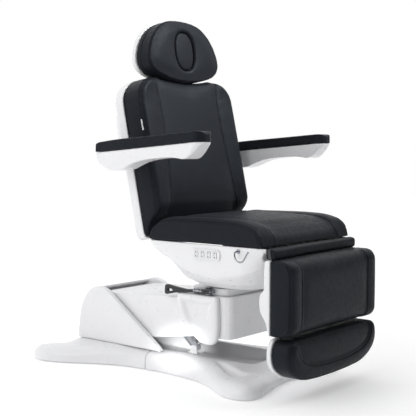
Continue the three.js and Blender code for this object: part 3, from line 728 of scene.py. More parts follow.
def shape_seat():
    thing = soft_copy("seat_cushion_cover", "seat_cushion", 0.006, 0.002, 5)
    points, up = spots(thing), normals(thing)
    away, along = np.abs(points[:, 1]), points[:, 0] - SWIVEL
    panel = 1 - ease(away, SEAT_PANEL - 0.016, SEAT_PANEL + 0.030)
    high = ease(points[:, 2], 0.575, 0.64)
    points[:, 2] -= panel * high * (0.005 + 0.006 * ease(along, 0.04, 0.30))
    points[:, 2] -= 0.004 * ease(along, 0.16, 0.29) * high
    points[:, 0] -= panel * ease(up[:, 0], 0.2, 0.9) * 0.002
    points[:, 2] += 0.003 * bell(away - 0.262, 0.035) * high * ease(up[:, 2], 0.3, 0.9)
    side_round = ease(away, PAD_HALF - 0.030, PAD_HALF - 0.002)
    points[:, 2] -= side_round ** 2 * 0.010 * ease(points[:, 2], 0.60, 0.645)
    put(thing, points)
    return thing, held_where(points, up[:, 2], seat_panel_seams + seat_edge_seams, 0.009)


BACK_FRONT = float(BACK.local([v.co for v in NODES["back_cushion"].data.vertices])[:, 2].max())
BACK_REAR = 0.0123
BACK_SEAM_UP = (0.10, 0.137, 0.19, 0.285, 0.45, 0.58, 0.64, 0.70)
BACK_SEAM_AT = (0.214, 0.212, 0.206, 0.197, 0.186, 0.186, 0.193, 0.204)

back_panel_seams = both(BACK.placed([(a, u, BACK_FRONT) for a, u in zip(BACK_SEAM_AT, BACK_SEAM_UP)]))
back_edge_seams = both(BACK.placed(stepped((0, 0, BACK_FRONT), [
    (0.292, 0.075, -0.045), (0.297, 0.12, -0.02), (0.298, 0.2, -0.012), (0.298, 0.40, -0.012),
    (0.298, 0.52, -0.012), (0.293, 0.58, -0.012), (0.276, 0.63, -0.012), (0.245, 0.668, -0.012),
    (0.215, 0.682, -0.012),
])))


back_half = [
    (0, 0.026), (0.284, 0.026), (0.298, 0.040), (0.298, 0.556), (0.296, 0.590), (0.286, 0.617),
    (0.268, 0.639),
    (0.243, 0.659), (0.210, 0.672), (0.172, 0.677), (0.140, 0.668), (0.100, 0.659), (0.060, 0.652),
    (0, 0.646),
]
back_outline = np.array(back_half + [(-a, u) for a, u in back_half[-2:0:-1]])


def shape_back():
    thing = soft_copy("back_cushion_cover", "back_cushion", 0.006, 0.002, 5)
    crowned(thing, BACK, back_outline, BACK_REAR, BACK_FRONT, 0.022, 0.0)
    spot = BACK.local(spots(thing))
    up = normals(thing) @ BACK.out
    away = np.abs(spot[:, 0])
    seam = np.interp(spot[:, 1], BACK_SEAM_UP, BACK_SEAM_AT)
    panel = 1 - ease(away - seam, -0.014, 0.034)
    front = ease(spot[:, 2], BACK_REAR + 0.03, BACK_FRONT - 0.01)
    swell = 0.007 * bell(away - seam - 0.070, 0.042)
    lumbar = 0.004 * bell(spot[:, 1] - 0.24, 0.12)
    moved_out(thing, BACK, front * (panel * (lumbar - 0.010) + swell))
    dip = 0.020 * ease(spot[:, 1], 0.57, 0.645) * bell(away, 0.15)
    put(thing, spots(thing) + dip[:, None] * BACK.up)
    return thing, held_where(spots(thing), up, back_panel_seams + back_edge_seams, 0.009)


HEAD_FRONT = float(HEAD.local([v.co for v in NODES["head_cushion"].data.vertices])[:, 2].max())
head_outline = hull_of(flat_of("head_cushion", HEAD))
plug_outline = hull_of(flat_of("head_plug", HEAD))


def inset_line(outline, place, distance, depth):
    """A closed line inside a convex outline, at a depth along the frame's out direction."""
    middle = outline.mean(0)
    ahead = np.roll(outline, -1, 0) - np.roll(outline, 1, 0)
    side = np.stack((-ahead[:, 1], ahead[:, 0]), axis=1)
    side /= np.linalg.norm(side, axis=1)[:, None]
    inward = side * np.sign(np.sum(side * (middle - outline), axis=1))[:, None]
    moved = outline + inward * distance
    return curve_through(place.placed([(a, u, depth) for a, u in moved]), closed=True)


head_edge_seam = [inset_line(head_outline, HEAD, 0.003, HEAD_FRONT - 0.006)]
head_band_seam = [inset_line(head_outline, HEAD, 0.0, 0.026)]


def shape_head():
    thing = soft_copy("head_cushion_cover", "head_cushion", 0.0045, 0.0015, 4)
    crowned(thing, HEAD, head_outline, 0.0, HEAD_FRONT, 0.010, 0.0)
    spot = HEAD.local(spots(thing))
    hole = -edge_gap(spot[:, :2], plug_outline)
    front = ease(spot[:, 2], 0.03, HEAD_FRONT - 0.012)
    rim = 0.011 * (1 - np.sqrt(np.maximum(0, 1 - np.clip(1 - (hole - 0.001) / 0.015, 0, 1) ** 2)))
    gap = edge_gap(spot[:, :2], head_outline)
    crown = 0.005 * ease(gap, 0.0, 0.06)
    moved_out(thing, HEAD, front * (crown - rim))
    points, up = spots(thing), normals(thing) @ HEAD.out
    held = held_where(points, up, head_edge_seam + head_band_seam, 0.006)
    held = np.maximum(held, 1 - ease(hole, 0.004, 0.014))
    return thing, held


def shape_plug():
    thing = soft_copy("head_plug_cover", "head_plug", 0.0035, 0.0008, 3)
    crowned(thing, HEAD, plug_outline, 0.002, HEAD_FRONT, 0.013, 0.0015)
    up = normals(thing) @ HEAD.out
    gap = edge_gap(HEAD.local(spots(thing))[:, :2], plug_outline)
    held = np.maximum(ease(-up, 0.3, 0.7), 1 - ease(gap, 0.001, 0.010))
    return thing, held


LEG_LOW, LEG_HIGH = (np.array(corner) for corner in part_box("leg_cushion"))
LEG_PANEL = 0.233
leg_panel_seams = both(stepped((LEG_HIGH[0], LEG_PANEL, LEG_HIGH[2]), [
    (-0.036, 0.006, -0.004), (-0.008, 0.002, -0.03), (0, 0, -0.07),
]) + stepped((LEG_HIGH[0], LEG_PANEL, LEG_LOW[2]), [
    (0, 0, 0.07), (-0.008, 0.002, 0.03), (-0.036, 0.006, 0.004),
]))
leg_edge_seams = both([
    (LEG_LOW[0] + 0.012, PAD_HALF - 0.003, LEG_HIGH[2] - 0.001),
    *stepped((LEG_HIGH[0], PAD_HALF, LEG_HIGH[2]), [
        (-0.045, -0.004, -0.004), (-0.020, -0.006, -0.022), (-0.010, -0.007, -0.06),
    ]),
    *stepped((LEG_HIGH[0], PAD_HALF, LEG_LOW[2]), [
        (-0.010, -0.007, 0.06), (-0.020, -0.006, 0.022), (-0.045, -0.004, 0.004),
    ]),
    (LEG_LOW[0] + 0.012, PAD_HALF - 0.003, LEG_LOW[2] + 0.001),
])


def shape_leg():
    thing = soft_copy("leg_cushion_cover", "leg_cushion", 0.0055, 0.0018, 4)
    points = spots(thing)
    radius = 0.044
    over = np.maximum(points[:, 2] - (LEG_HIGH[2] - radius), (LEG_LOW[2] + radius) - points[:, 2])
    near = np.clip(over / radius, 0, 1)
    drop = radius * (1 - np.sqrt(np.maximum(0, 1 - near ** 2)))
    share = np.clip((points[:, 0] - LEG_LOW[0]) / (LEG_HIGH[0] - LEG_LOW[0]), 0, 1)
    away = np.abs(points[:, 1])
    panel = 1 - ease(away, LEG_PANEL - 0.012, LEG_PANEL + 0.022)
    swell = 0.003 * bell(away - 0.272, 0.026)
    points[:, 0] += share * (swell - drop - 0.005 * panel)
    put(thing, points)
    up = normals(thing)
    return thing, held_where(points, up[:, 0], leg_panel_seams + leg_edge_seams, 0.008)


FOOT_LOW, FOOT_HIGH = (np.array(corner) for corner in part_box("foot_cushion"))
foot_outline = hull_of(flat_of("foot_cushion", UPRIGHT))
FOOT_DEPTH = FOOT_HIGH[0] - SWIVEL
foot_half = [(0.262, 0.225), (0.2585, 0.195), (0.236, 0.162), (0.190, 0.139), (0.120, 0.127), (0.05, 0.1235)]
foot_panel = foot_half + [(0, 0.123)] + [(-a, u) for a, u in foot_half[::-1]]
foot_panel_seam = [curve_through([(FOOT_HIGH[0], a, u) for a, u in foot_panel])]
foot_edge_seam = [inset_line(foot_outline, UPRIGHT, 0.012, FOOT_DEPTH - 0.012)]


def shape_foot():
    thing = soft_copy("foot_cushion_cover", "foot_cushion", 0.005, 0.0018, 4)
    crowned(thing, UPRIGHT, foot_outline, FOOT_LOW[0] - SWIVEL, FOOT_DEPTH, 0.030, 0.0)
    points = spots(thing)
    flat = points[:, 1:]
    line = np.array(foot_panel)
    closed = np.concatenate((line, [(-0.262, 0.262), (0.262, 0.262)]))
    inside = edge_gap(flat, closed)
    front = ease(points[:, 0], FOOT_LOW[0] + 0.03, FOOT_HIGH[0] - 0.012)
    points[:, 0] += front * (0.003 * bell(inside + 0.018, 0.012) - 0.006 * ease(inside, -0.004, 0.014))
    put(thing, points)
    up = normals(thing)
    return thing, held_where(points, up[:, 0], foot_panel_seam + foot_edge_seam, 0.007)


KNEE_LOW = np.array((SWIVEL + 0.372, -0.281, 0.5165))
KNEE_HIGH = np.array((SWIVEL + 0.412, 0.281, 0.5600))


def shape_knee():
    """A soft roll that fills the gap between the seat's front edge and the top of the leg rest."""
    thing = soft_copy("knee_pad_cover", "knee_pad", 0.004, 0.0008, 26)
    points = spots(thing)
    low, high = points.min(0), points.max(0)
    points = KNEE_LOW + (points - low) * (KNEE_HIGH - KNEE_LOW) / (high - low)
    wave = ease(points[:, 1], -0.24, -0.05) - 0.5
    points[:, 2] += 0.004 * wave * ease(points[:, 0], SWIVEL + 0.375, SWIVEL + 0.395)
    put(thing, points)
    up = normals(thing)
    return thing, ease(-up[:, 2], 0.3, 0.7)


NOSE_RADIUS = 0.040
TAPER = 0.090


def round_nose(thing):
    """Rounds the front end of an armrest piece, seen from above."""
    points = spots(thing)
    low, high = points[:, 1].min(), points[:, 1].max()
    middle, half = (low + high) / 2, (high - low) / 2
    levels = np.linspace(points[:, 2].min(), points[:, 2].max(), 9)
    reach = levels[1] - levels[0]
    tips = [points[np.abs(points[:, 2] - level) < reach, 0].max() for level in levels]
    tip = np.interp(points[:, 2], levels, tips)
    share = np.clip((points[:, 0] - tip + NOSE_RADIUS) / NOSE_RADIUS, 0, 0.985)
    room = half - NOSE_RADIUS * (1 - np.sqrt(1 - share ** 2))
    points[:, 1] = middle + (points[:, 1] - middle) * room / half
    points[:, 2] -= 0.004 * share ** 3 * ease(points[:, 2], points[:, 2].min(), points[:, 2].max())
    put(thing, points)


def shape_arm_shell(thing):
    """The shell under an armrest pad rises to its tip."""
    round_nose(thing)
    points = spots(thing)
    share = np.clip((points[:, 0] - points[:, 0].max() + TAPER) / TAPER, 0, 1)
    top = points[:, 2][share > 0].max()
    points[:, 2] = top - (top - points[:, 2]) * (1 - 0.76 * share ** 2)
    put(thing, points)


def shape_arm(side_name):
    thing = soft_copy("arm_pad_cover_" + side_name, "arm_pad_" + side_name, 0.004, 0.001, 7)
    round_nose(thing)
    up = normals(thing)
    return thing, ease(-up[:, 2], 0.5, 0.9)


SEAM_WIDTH, SEAM_DEPTH, SEAM_SHOULDER = 0.0028, 0.0026, 0.0006


def finish_soft(thing, node_name, body, lines=(), offsets=()):
    subdivided(thing)
    if lines:
        tree = surface_of(thing)
        snapped = [laid_on(tree, line)[0] for line in lines]
        pressed(thing, snapped, SEAM_WIDTH, SEAM_DEPTH, SEAM_SHOULDER)
    smooth_shaded(thing)
    finish_as(thing, "black_leatherette")
    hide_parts(node_name)
    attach(thing, body)
    if lines and offsets:
        threads = stitched(thing.name + "_stitches", surface_of(thing), snapped, offsets)
        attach(threads, body)
    return thing


def make_upholstery():
    shaped = {
        "seat": shape_seat(), "back": shape_back(), "head": shape_head(), "plug": shape_plug(),
        "leg": shape_leg(), "foot": shape_foot(), "knee": shape_knee(),
        "arm_right": shape_arm("right"), "arm_left": shape_arm("left"),
    }
    caps = {
        "seat": 0.009, "back": 0.009, "head": 0.007, "plug": 0.003, "leg": 0.007, "foot": 0.006,
        "knee": 0.004, "arm_right": 0.003, "arm_left": 0.003,
    }
    puffed([(thing, held, 4.0, caps[key]) for key, (thing, held) in shaped.items()])
    piece = {key: thing for key, (thing, held) in shaped.items()}
    twin = (-0.0042, 0.0042)
    finish_soft(piece["seat"], "seat_cushion", "seat", seat_panel_seams + seat_edge_seams, twin)
    finish_soft(piece["back"], "back_cushion", "back", back_panel_seams + back_edge_seams, twin)
    finish_soft(piece["head"], "head_cushion", "head", head_edge_seam + head_band_seam, (0.004,))
    finish_soft(piece["plug"], "head_plug", "head_plug")
    finish_soft(piece["leg"], "leg_cushion", "leg", leg_panel_seams + leg_edge_seams, twin)
    finish_soft(piece["foot"], "foot_cushion", "foot", foot_panel_seam + foot_edge_seam, twin)
    finish_soft(piece["knee"], "knee_pad", "leg")
    for side_name in ("right", "left"):
        finish_soft(piece["arm_" + side_name], "arm_pad_" + side_name, "arm_" + side_name)


make_upholstery()


# ---------------------------------------------------------------- moulded shells
def moulded_copy(name, sources, voxel, rounds, body, slot="white_plastic", shape=None, stands_for=None):
    """A moulding with rounded edges: CAD solids remeshed finely and relaxed."""
    thing = copy_of(name, *sources)
    voxelised(thing, voxel)
    relaxed(thing, rounds)
    if shape:
        shape(thing)
    smooth_shaded(thing)
    finish_as(thing, slot)
    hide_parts(*(stands_for or sources))
    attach(thing, body)
    return thing


# ---------------------------------------------------------------- base covers
BASE_LOW = 0.003
BASE_SEAM = SWIVEL - 0.293
SEAM_GAP = 0.0005
SKIN = 0.009
RIM = 0.016
TRAY_UNDER = 0.0206
GRID = 0.006
base_half = curve_through([
    (-0.745, 0), (-0.750, 0.150), (-0.776, 0.232), (-0.818, 0.286), (-0.835, 0.332), (-0.806, 0.368),
    (-0.735, 0.373), (-0.640, 0.338), (-0.520, 0.270), (-0.400, 0.222), (-0.293, 0.208), (-0.150, 0.206),
    (0, 0.225), (0.090, 0.262), (0.145, 0.295), (0.205, 0.328), (0.271, 0.336), (0.316, 0.314),
    (0.332, 0.270),
    (0.318, 0.190), (0.290, 0.090), (0.278, 0),
], 0.012)
base_outline = np.concatenate((base_half, (base_half * (1, -1))[1:-1][::-1])) + (SWIVEL, 0)
TRAY_HALF, TRAY_FRONT, TRAY_CORNER = 0.130, 0.162, 0.09
TRAY_FLOOR = 0.028
TRAY_REAR = -0.640
TEARDROP_TAIL, TEARDROP_HEAD = (0.050, -0.165), (0.195, -0.214)


def tray_gap(x, y):
    """Distance inside the tray's rounded front, negative outside it."""
    side = TRAY_HALF - np.abs(y)
    end = TRAY_FRONT - x
    corner = TRAY_CORNER - np.hypot(np.maximum(TRAY_CORNER - end, 0), np.maximum(TRAY_CORNER - side, 0))
    inside = np.where((end < TRAY_CORNER) & (side < TRAY_CORNER), corner, np.minimum(side, end))
    return np.minimum(inside, x - TRAY_REAR)


def base_height(x, y, gap):
    """Height of the covers' top at a place x, y from the swivel axis, gap inside the outline."""
    rear_lobe = 1 - ease(x, -0.66, -0.46)
    front_lobe = ease(x, 0.02, 0.16) * ease(np.abs(y), 0.12, 0.24)
    lobe = np.clip(np.maximum(rear_lobe * ease(np.abs(y), 0.17, 0.24), front_lobe), 0, 1)
    width = 0.076 * (1 - lobe) + 0.070 * lobe
    share = np.clip(gap / width, 0, 1)
    wall = 0.046 * (1 - lobe) + 0.020 * lobe
    top = 0.082 * (1 - lobe) + (0.060 * front_lobe + 0.066 * (1 - front_lobe)) * lobe
    nose = ease(x, 0.10, 0.24) * (1 - lobe)
    top = top * (1 - nose) + 0.050 * nose
    wall = wall * (1 - nose) + 0.020 * nose
    height = wall + (top - wall) * np.sqrt(1 - (1 - share) ** 2)
    for sign in (-1, 1):
        tail, head = (np.array((tx, sign * -ty)) for tx, ty in (TEARDROP_TAIL, TEARDROP_HEAD))
        along = head - tail
        t = np.clip(((x - tail[0]) * along[0] + (y - tail[1]) * along[1]) / (along @ along), 0, 1)
        away = np.hypot(x - tail[0] - t * along[0], y - tail[1] - t * along[1])
        height -= 0.013 * (1 - ease(away / (0.010 + 0.022 * t), 0.35, 1.1)) * ease(t, -0.1, 0.35)
    inside = tray_gap(x, y)
    floor = TRAY_FLOOR + 0.016 * ease(x, -0.02, 0.15)
    return np.where(inside > 0, floor + (height - floor) * (1 - ease(inside, 0.0, 0.016)), height)


def clipped_cover(name, keep_of):
    """A thin moulded cover over the part of the base where keep_of is positive."""
    low, high = base_outline.min(0) - GRID, base_outline.max(0) + GRID
    xs = np.arange(low[0], high[0] + GRID, GRID)
    ys = np.arange(low[1], high[1] + GRID, GRID)
    grid = np.stack(np.meshgrid(xs, ys, indexing="ij"), axis=-1)
    flat = grid.reshape(-1, 2)
    keep = keep_of(flat[:, 0], edge_gap(flat, base_outline)).reshape(len(xs), len(ys))
    index, spots_found, faces = {}, [], []

    def corner(key, place):
        if key not in index:
            index[key] = len(spots_found)
            spots_found.append(place)
        return index[key]

    rims = []
    for i in range(len(xs) - 1):
        for j in range(len(ys) - 1):
            loop = [(i, j), (i + 1, j), (i + 1, j + 1), (i, j + 1)]
            inside = [keep[a] > 0 for a in loop]
            if not any(inside):
                continue
            polygon, cuts = [], []
            for k in range(4):
                a, b = loop[k], loop[(k + 1) % 4]
                if inside[k]:
                    polygon.append(corner(a, grid[a]))
                if inside[k] != inside[(k + 1) % 4]:
                    share = keep[a] / (keep[a] - keep[b])
                    share = min(max(share, 0.02), 0.98)
                    cut = corner((min(a, b), max(a, b)), grid[a] + share * (grid[b] - grid[a]))
                    polygon.append(cut)
                    cuts.append(cut if inside[k] else -cut - 1)
            if len(polygon) > 2:
                faces.append(polygon)
            if len(cuts) == 2:
                leave = next(c for c in cuts if c >= 0)
                enter = -next(c for c in cuts if c < 0) - 1
                rims.append((leave, enter))
    plan = np.array(spots_found)
    gap = np.maximum(edge_gap(plan, base_outline), 0)
    kept = keep_of(plan[:, 0], gap)
    top = base_height(plan[:, 0] - SWIVEL, plan[:, 1], gap)
    in_tray = ease(tray_gap(plan[:, 0] - SWIVEL, plan[:, 1]), -0.004, 0.004)
    under = np.maximum(BASE_LOW, (top - SKIN) * (1 - in_tray) + TRAY_UNDER * in_tray)
    under = np.where(kept < RIM, BASE_LOW, under)
    count = len(plan)
    points = [(*p, z) for p, z in zip(plan, top)] + [(*p, z) for p, z in zip(plan, under)]
    solid = [tuple(f) for f in faces] + [tuple(count + v for v in f[::-1]) for f in faces]
    solid += [(b, a, a + count, b + count) for a, b in rims]
    thing = new_thing(name, points, solid)
    voxelised(thing, 0.0042)
    relaxed(thing, 7)
    smooth_shaded(thing)
    finish_as(thing, "white_plastic")
    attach(thing, "base")
    return thing


def make_base():
    rear = clipped_cover("base_cover_rear_moulding", lambda x, gap: np.minimum(gap, BASE_SEAM - SEAM_GAP - x))
    front = clipped_cover(
        "base_cover_front_moulding", lambda x, gap: np.minimum(gap, x - BASE_SEAM - SEAM_GAP))
    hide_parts("base_cover_rear")
    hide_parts("base_cover_front")


make_base()


# ---------------------------------------------------------------- tower, lifting arm and column
def panel_solid(name, outline, place, near, far):
    """A slab of an outline on a frame's face, from depth near to far."""
    count = len(outline)
    points = [place.world(a, u, near) for a, u in outline] + [place.world(a, u, far) for a, u in outline]
    thing = new_thing(name, points, end_faces(2, count) + ring_faces(2, count))
    facing_out(thing)
    return thing


def facing_out(thing):
    """Turns a closed mesh's faces outwards."""
    points = spots(thing)
    volume = 0.0
    for polygon in thing.data.polygons:
        corners = [points[v] for v in polygon.vertices]
        for k in range(1, len(corners) - 1):
            volume += corners[0] @ np.cross(corners[k], corners[k + 1])
    if volume < 0:
        thing.data.flip_normals()


def cut(thing, *tools):
    """Takes tool solids out of a solid, and removes them."""
    for tool in tools:
        modifier = thing.modifiers.new("cut", "BOOLEAN")
        modifier.operation = "DIFFERENCE"
        modifier.solver = "EXACT"
        modifier.object = tool
    settled(thing)
    for tool in tools:
        removed(tool)
    return thing


BOX_FACES = [(0, 1, 3, 2), (4, 6, 7, 5), (0, 4, 5, 1), (2, 3, 7, 6), (0, 2, 6, 4), (1, 5, 7, 3)]


def box_corners(low, high):
    return [(x, y, z) for x in (low[0], high[0]) for y in (low[1], high[1]) for z in (low[2], high[2])]


def block(name, low, high):
    return new_thing(name, box_corners(low, high), BOX_FACES)


class Flank(Place):
    """A frame on the bed's side: up runs to the feet, across is height, out is away from the middle."""

    def __init__(self, sign):
        self.origin = np.array((SWIVEL, 0.0, 0.0))
        self.across = np.array((0.0, 0.0, 1.0))
        self.up = np.array((1.0, 0.0, 0.0))
        self.out = np.array((0.0, float(sign), 0.0))


SHIELD_IN, SHIELD_OUT = 0.165, 0.190
shield_outline = curve_through([
    (0.336, -0.139), (0.262, -0.128), (0.208, -0.094), (0.162, -0.040), (0.1445, 0.008), (0.152, 0.052),
    (0.192, 0.070), (0.262, 0.0715), (0.325, 0.068), (0.338, 0.060),
], 0.006)
shield_dish = curve_through([
    (0.322, -0.118), (0.262, -0.097), (0.210, -0.064), (0.187, -0.020), (0.192, 0.008), (0.230, 0.026),
    (0.290, 0.040), (0.322, 0.062),
], 0.006)


def make_shield(label, sign):
    flank = Flank(sign)
    thing = panel_solid("side_shield_moulding_" + label, shield_outline, flank, SHIELD_IN, SHIELD_OUT)
    voxelised(thing, 0.0034)
    relaxed(thing, 8)
    spot = flank.local(spots(thing))
    outer = ease(spot[:, 2], SHIELD_IN + 0.012, SHIELD_OUT - 0.002)
    rim = edge_gap(spot[:, :2], shield_outline)
    dish = edge_gap(spot[:, :2], shield_dish)
    high = ease(spot[:, 0], 0.335, 0.300)
    fall = 0.006 * (1 - np.clip(rim / 0.022, 0, 1)) ** 2
    moved_out(thing, flank, -outer * (fall + 0.011 * ease(dish, -0.004, 0.022) * high))
    finish_shell(thing, "column", "side_shield_" + label)


def finish_shell(thing, stands_for, *names):
    smooth_shaded(thing)
    finish_as(thing, "white_plastic")
    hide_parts(*names)
    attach(thing, stands_for)
    return thing


# ---------------------------------------------------------------- seat tub
def crease_height(x):
    """Height of the tub's side crease, which sags in the middle."""
    along = (-0.09, -0.044, 0.03, 0.148, 0.27, 0.358, 0.42)
    return np.interp(x, along, (0.492, 0.470, 0.446, 0.436, 0.455, 0.482, 0.500))


TUB_RINGS = [
    # share of the way from the rim to the crease, or a level, then rear x, front x, half width, corner powers
    {"down": 0.0, "rear": -0.190, "front": 0.4035, "half": 0.3028, "power": 11, "rear_power": 26},
    {"down": 0.10, "rear": -0.186, "front": 0.4020, "half": 0.3030, "power": 11, "rear_power": 26},
    {"down": 0.45, "rear": -0.168, "front": 0.3935, "half": 0.3005, "power": 9, "rear_power": 26},
    {"down": 0.88, "rear": -0.125, "front": 0.3800, "half": 0.2945, "power": 6, "rear_power": 22},
    {"down": 1.0, "rear": -0.102, "front": 0.3740, "half": 0.2890, "power": 6, "rear_power": 22},
    {"down": 1.0, "extra": 0.010, "rear": -0.093, "front": 0.362, "half": 0.2810, "power": 5,
     "rear_power": 16},
    {"level": 0.402, "rear": -0.072, "front": 0.318, "half": 0.2400, "power": 4, "rear_power": 9},
    {"level": 0.386, "rear": -0.066, "front": 0.270, "half": 0.2050, "power": 4, "rear_power": 4},
    {"level": 0.3778, "rear": -0.062, "front": 0.235, "half": 0.1840, "power": 4, "rear_power": 4},
]
TUB_RIM = 0.557
WALL_BEHIND_ROLL = 0.543


def tub_ring(ring, shrink, furthest=1.0, steps=160):
    points = []
    rear, front = ring["rear"] + shrink, min(ring["front"] - shrink, furthest)
    middle, reach = (rear + front) / 2, (front - rear) / 2
    half = ring["half"] - shrink
    for k in range(steps):
        angle = 2 * math.pi * k / steps
        c, s = math.cos(angle), math.sin(angle)
        power = ring["power"] if c > 0 else ring["rear_power"]
        size = (abs(c) ** power + abs(s) ** power) ** (-1 / power)
        x = middle + reach * c * size
        if "level" in ring:
            z = ring["level"] + 0.35 * (crease_height(x) - 0.436) * (ring["level"] - 0.3778) / 0.0242
        else:
            z = TUB_RIM + (crease_height(x) - TUB_RIM) * ring["down"] - ring.get("extra", 0)
        points.append((SWIVEL + x, half * s * size, z))
    return points


def ring_skin(name, rings):
    count = len(rings[0])
    points = [p for ring in rings for p in ring]
    faces = [face[::-1] for face in end_faces(len(rings), count) + ring_faces(len(rings), count)]
    thing = new_thing(name, points, faces)
    facing_out(thing)
    return thing


def make_tub():
    tub = ring_skin("seat_tub_moulding", [tub_ring(ring, 0) for ring in TUB_RINGS])
    inner = [tub_ring(ring, 0.011, 0.348) for ring in TUB_RINGS]
    lifted = [[(x, y, z + 0.013) for x, y, z in ring] for ring in inner]
    hollow = ring_skin("tub_hollow", lifted)
    knee = block("knee_room", (SWIVEL + 0.360, -0.288, 0.506), (SWIVEL + 0.43, 0.288, 0.60))
    rear_slot = block("rear_slot", (SWIVEL - 0.24, -0.166, 0.49), (SWIVEL - 0.10, 0.166, 0.60))
    leg_recess = block("leg_recess", (SWIVEL + 0.3745, -0.32, 0.36), (SWIVEL + 0.43, 0.32, 0.5245))
    cut(tub, hollow, knee, rear_slot, leg_recess)
    voxelised(tub, 0.004)
    relaxed(tub, 8)
    points = spots(tub)
    behind_roll = (np.abs(points[:, 1]) < 0.284) & (points[:, 0] > SWIVEL + 0.335)
    points[behind_roll, 2] = np.minimum(points[behind_roll, 2], WALL_BEHIND_ROLL)
    put(tub, points)
    finish_shell(tub, "seat", "seat_shell")
    return tub


LEG_BUMP = [
    (0.4325, 0.376), (0.412, 0.376), (0.404, 0.370), (0.394, 0.3605), (0.382, 0.357), (0.348, 0.357),
    (0.330, 0.361),
    (0.312, 0.372), (0.300, 0.380), (0.280, 0.388), (0.258, 0.394),
]
LEG_SHELL_HALF = 0.302


def make_leg_shell():
    low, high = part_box("leg_shell")
    face = high[0] - SWIVEL
    outline = curve_through([
        (high[2], face), (high[2], face - 0.010), (high[2] - 0.004, face - 0.020), (0.500, 0.378),
        *LEG_BUMP, (low[2], 0.398), (low[2], face),
    ], 0.004)
    flank = Flank(1)
    thing = panel_solid("leg_shell_moulding", outline, flank, -LEG_SHELL_HALF, LEG_SHELL_HALF)
    rooms = []
    for sign in (-1, 1):
        y0, y1 = sorted((sign * 0.272, sign * 0.286))
        rooms.append(block("arm_room", (SWIVEL + 0.35, y0, 0.455), (SWIVEL + 0.41, y1, 0.53)))
        y0, y1 = sorted((sign * 0.116, sign * 0.132))
        rooms.append(block("rail_room", (SWIVEL + 0.3845, y0, 0.20), (SWIVEL + 0.3945, y1, 0.404)))
    rooms.append(block("plate_room", (SWIVEL + 0.394, -0.286, 0.329), (SWIVEL + 0.412, 0.286, 0.471)))
    cut(thing, *rooms)
    voxelised(thing, 0.0034)
    relaxed(thing, 6)
    finish_shell(thing, "leg", "leg_shell")


moulded_copy("tower_moulding", ["tower_cover"], 0.004, 12, "base")
moulded_copy("lift_arm_moulding", ["lift_arm_cover"], 0.004, 12, "lift_arm")
for label, sign in (("right", -1), ("left", 1)):
    make_shield(label, sign)
    moulded_copy("arm_shell_moulding_" + label, ["arm_shell_" + label], 0.003, 16, "arm_" + label,
                 shape=shape_arm_shell)
    moulded_copy("arm_pivot_moulding_" + label, ["arm_pivot_" + label], 0.0025, 3, "arm_carrier_" + label,
                 "black_plastic")
moulded_copy("column_front_moulding", ["column_front_cover"], 0.0035, 10, "column")
moulded_copy("column_top_moulding", ["column_top_plate"], 0.003, 8, "column")
make_tub()
moulded_copy("back_shell_moulding", ["back_shell"], 0.0035, 6, "back")
moulded_copy("back_motor_moulding", ["back_rear_cover"], 0.0035, 14, "back")
moulded_copy("head_shell_moulding", ["head_shell"], 0.0035, 6, "head")
make_leg_shell()
moulded_copy("foot_shell_moulding", ["foot_shell"], 0.003, 5, "foot")
moulded_copy("lock_lever_moulding", ["lock_lever"], 0.0014, 6, "lock_lever", "black_plastic")


# ---------------------------------------------------------------- controls and small fittings
RIGHT_SIDE = Flank(-1)
KEY_FACE = 0.3084
MARK_PROUD = 0.0005


def mark(corners):
    """A small raised sign on the bed's right side. Each corner is its height and its place along the bed."""
    outline = curve_through(corners, 0.0006, closed=True)
    return panel_solid("mark", outline, RIGHT_SIDE, KEY_FACE - 0.0004, KEY_FACE + MARK_PROUD)


def make_key_marks():
    for number in (1, 2, 3, 4):
        low, high = (np.array(corner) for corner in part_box("rocker_key_%d" % number))
        x, z = (low[0] + high[0]) / 2 - SWIVEL, (low[2] + high[2]) / 2
        signs = [
            mark([(z + 0.0060, x - 0.0026), (z + 0.0060, x + 0.0026), (z + 0.0098, x)]),
            mark([(z - 0.0060, x - 0.0026), (z - 0.0060, x + 0.0026), (z - 0.0098, x)]),
            mark([(z - 0.0009, x - 0.0042), (z + 0.0009, x - 0.0042),
                  (z + 0.0009, x - 0.0026), (z - 0.0009, x - 0.0026)]),
        ]
        piece = joined_things("key_marks_%d" % number, signs, "black_plastic")
        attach(piece, "key_%d" % number)


HOOK_RADIUS = 0.0029
hook_line = curve_through([
    (0.264, -0.3030, 0.542), (0.264, -0.316, 0.542), (0.265, -0.327, 0.537), (0.270, -0.3295, 0.520),
    (0.284, -0.3305, 0.5085), (0.302, -0.3305, 0.5095), (0.315, -0.3315, 0.523), (0.324, -0.3335, 0.537),
    (0.332, -0.3355, 0.5455),
], 0.002) + (SWIVEL, 0, 0)


def lathed(name, profile, start, ahead, sides=28, slot="chrome", ribs=0, rib_depth=0.0):
    """A turned part. Its profile is (distance along ahead, radius), and ribs may run round it."""
    ahead = np.array(ahead, float) / np.linalg.norm(ahead)
    first = np.cross(ahead, guide_for(ahead))
    first /= np.linalg.norm(first)
    second = np.cross(ahead, first)
    points = []
    for distance, radius in profile:
        for k in range(sides):
            angle = 2 * math.pi * k / sides
            size = radius * (1 - rib_depth * (0.5 + 0.5 * math.cos(angle * ribs))) if ribs else radius
            away = math.cos(angle) * first + math.sin(angle) * second
            points.append(np.array(start) + ahead * distance + size * away)
    faces = ring_faces(len(profile), sides) + end_faces(len(profile), sides)
    made = new_thing(name, points, faces, slot)
    facing_out(made)
    smooth_shaded(made)
    return made


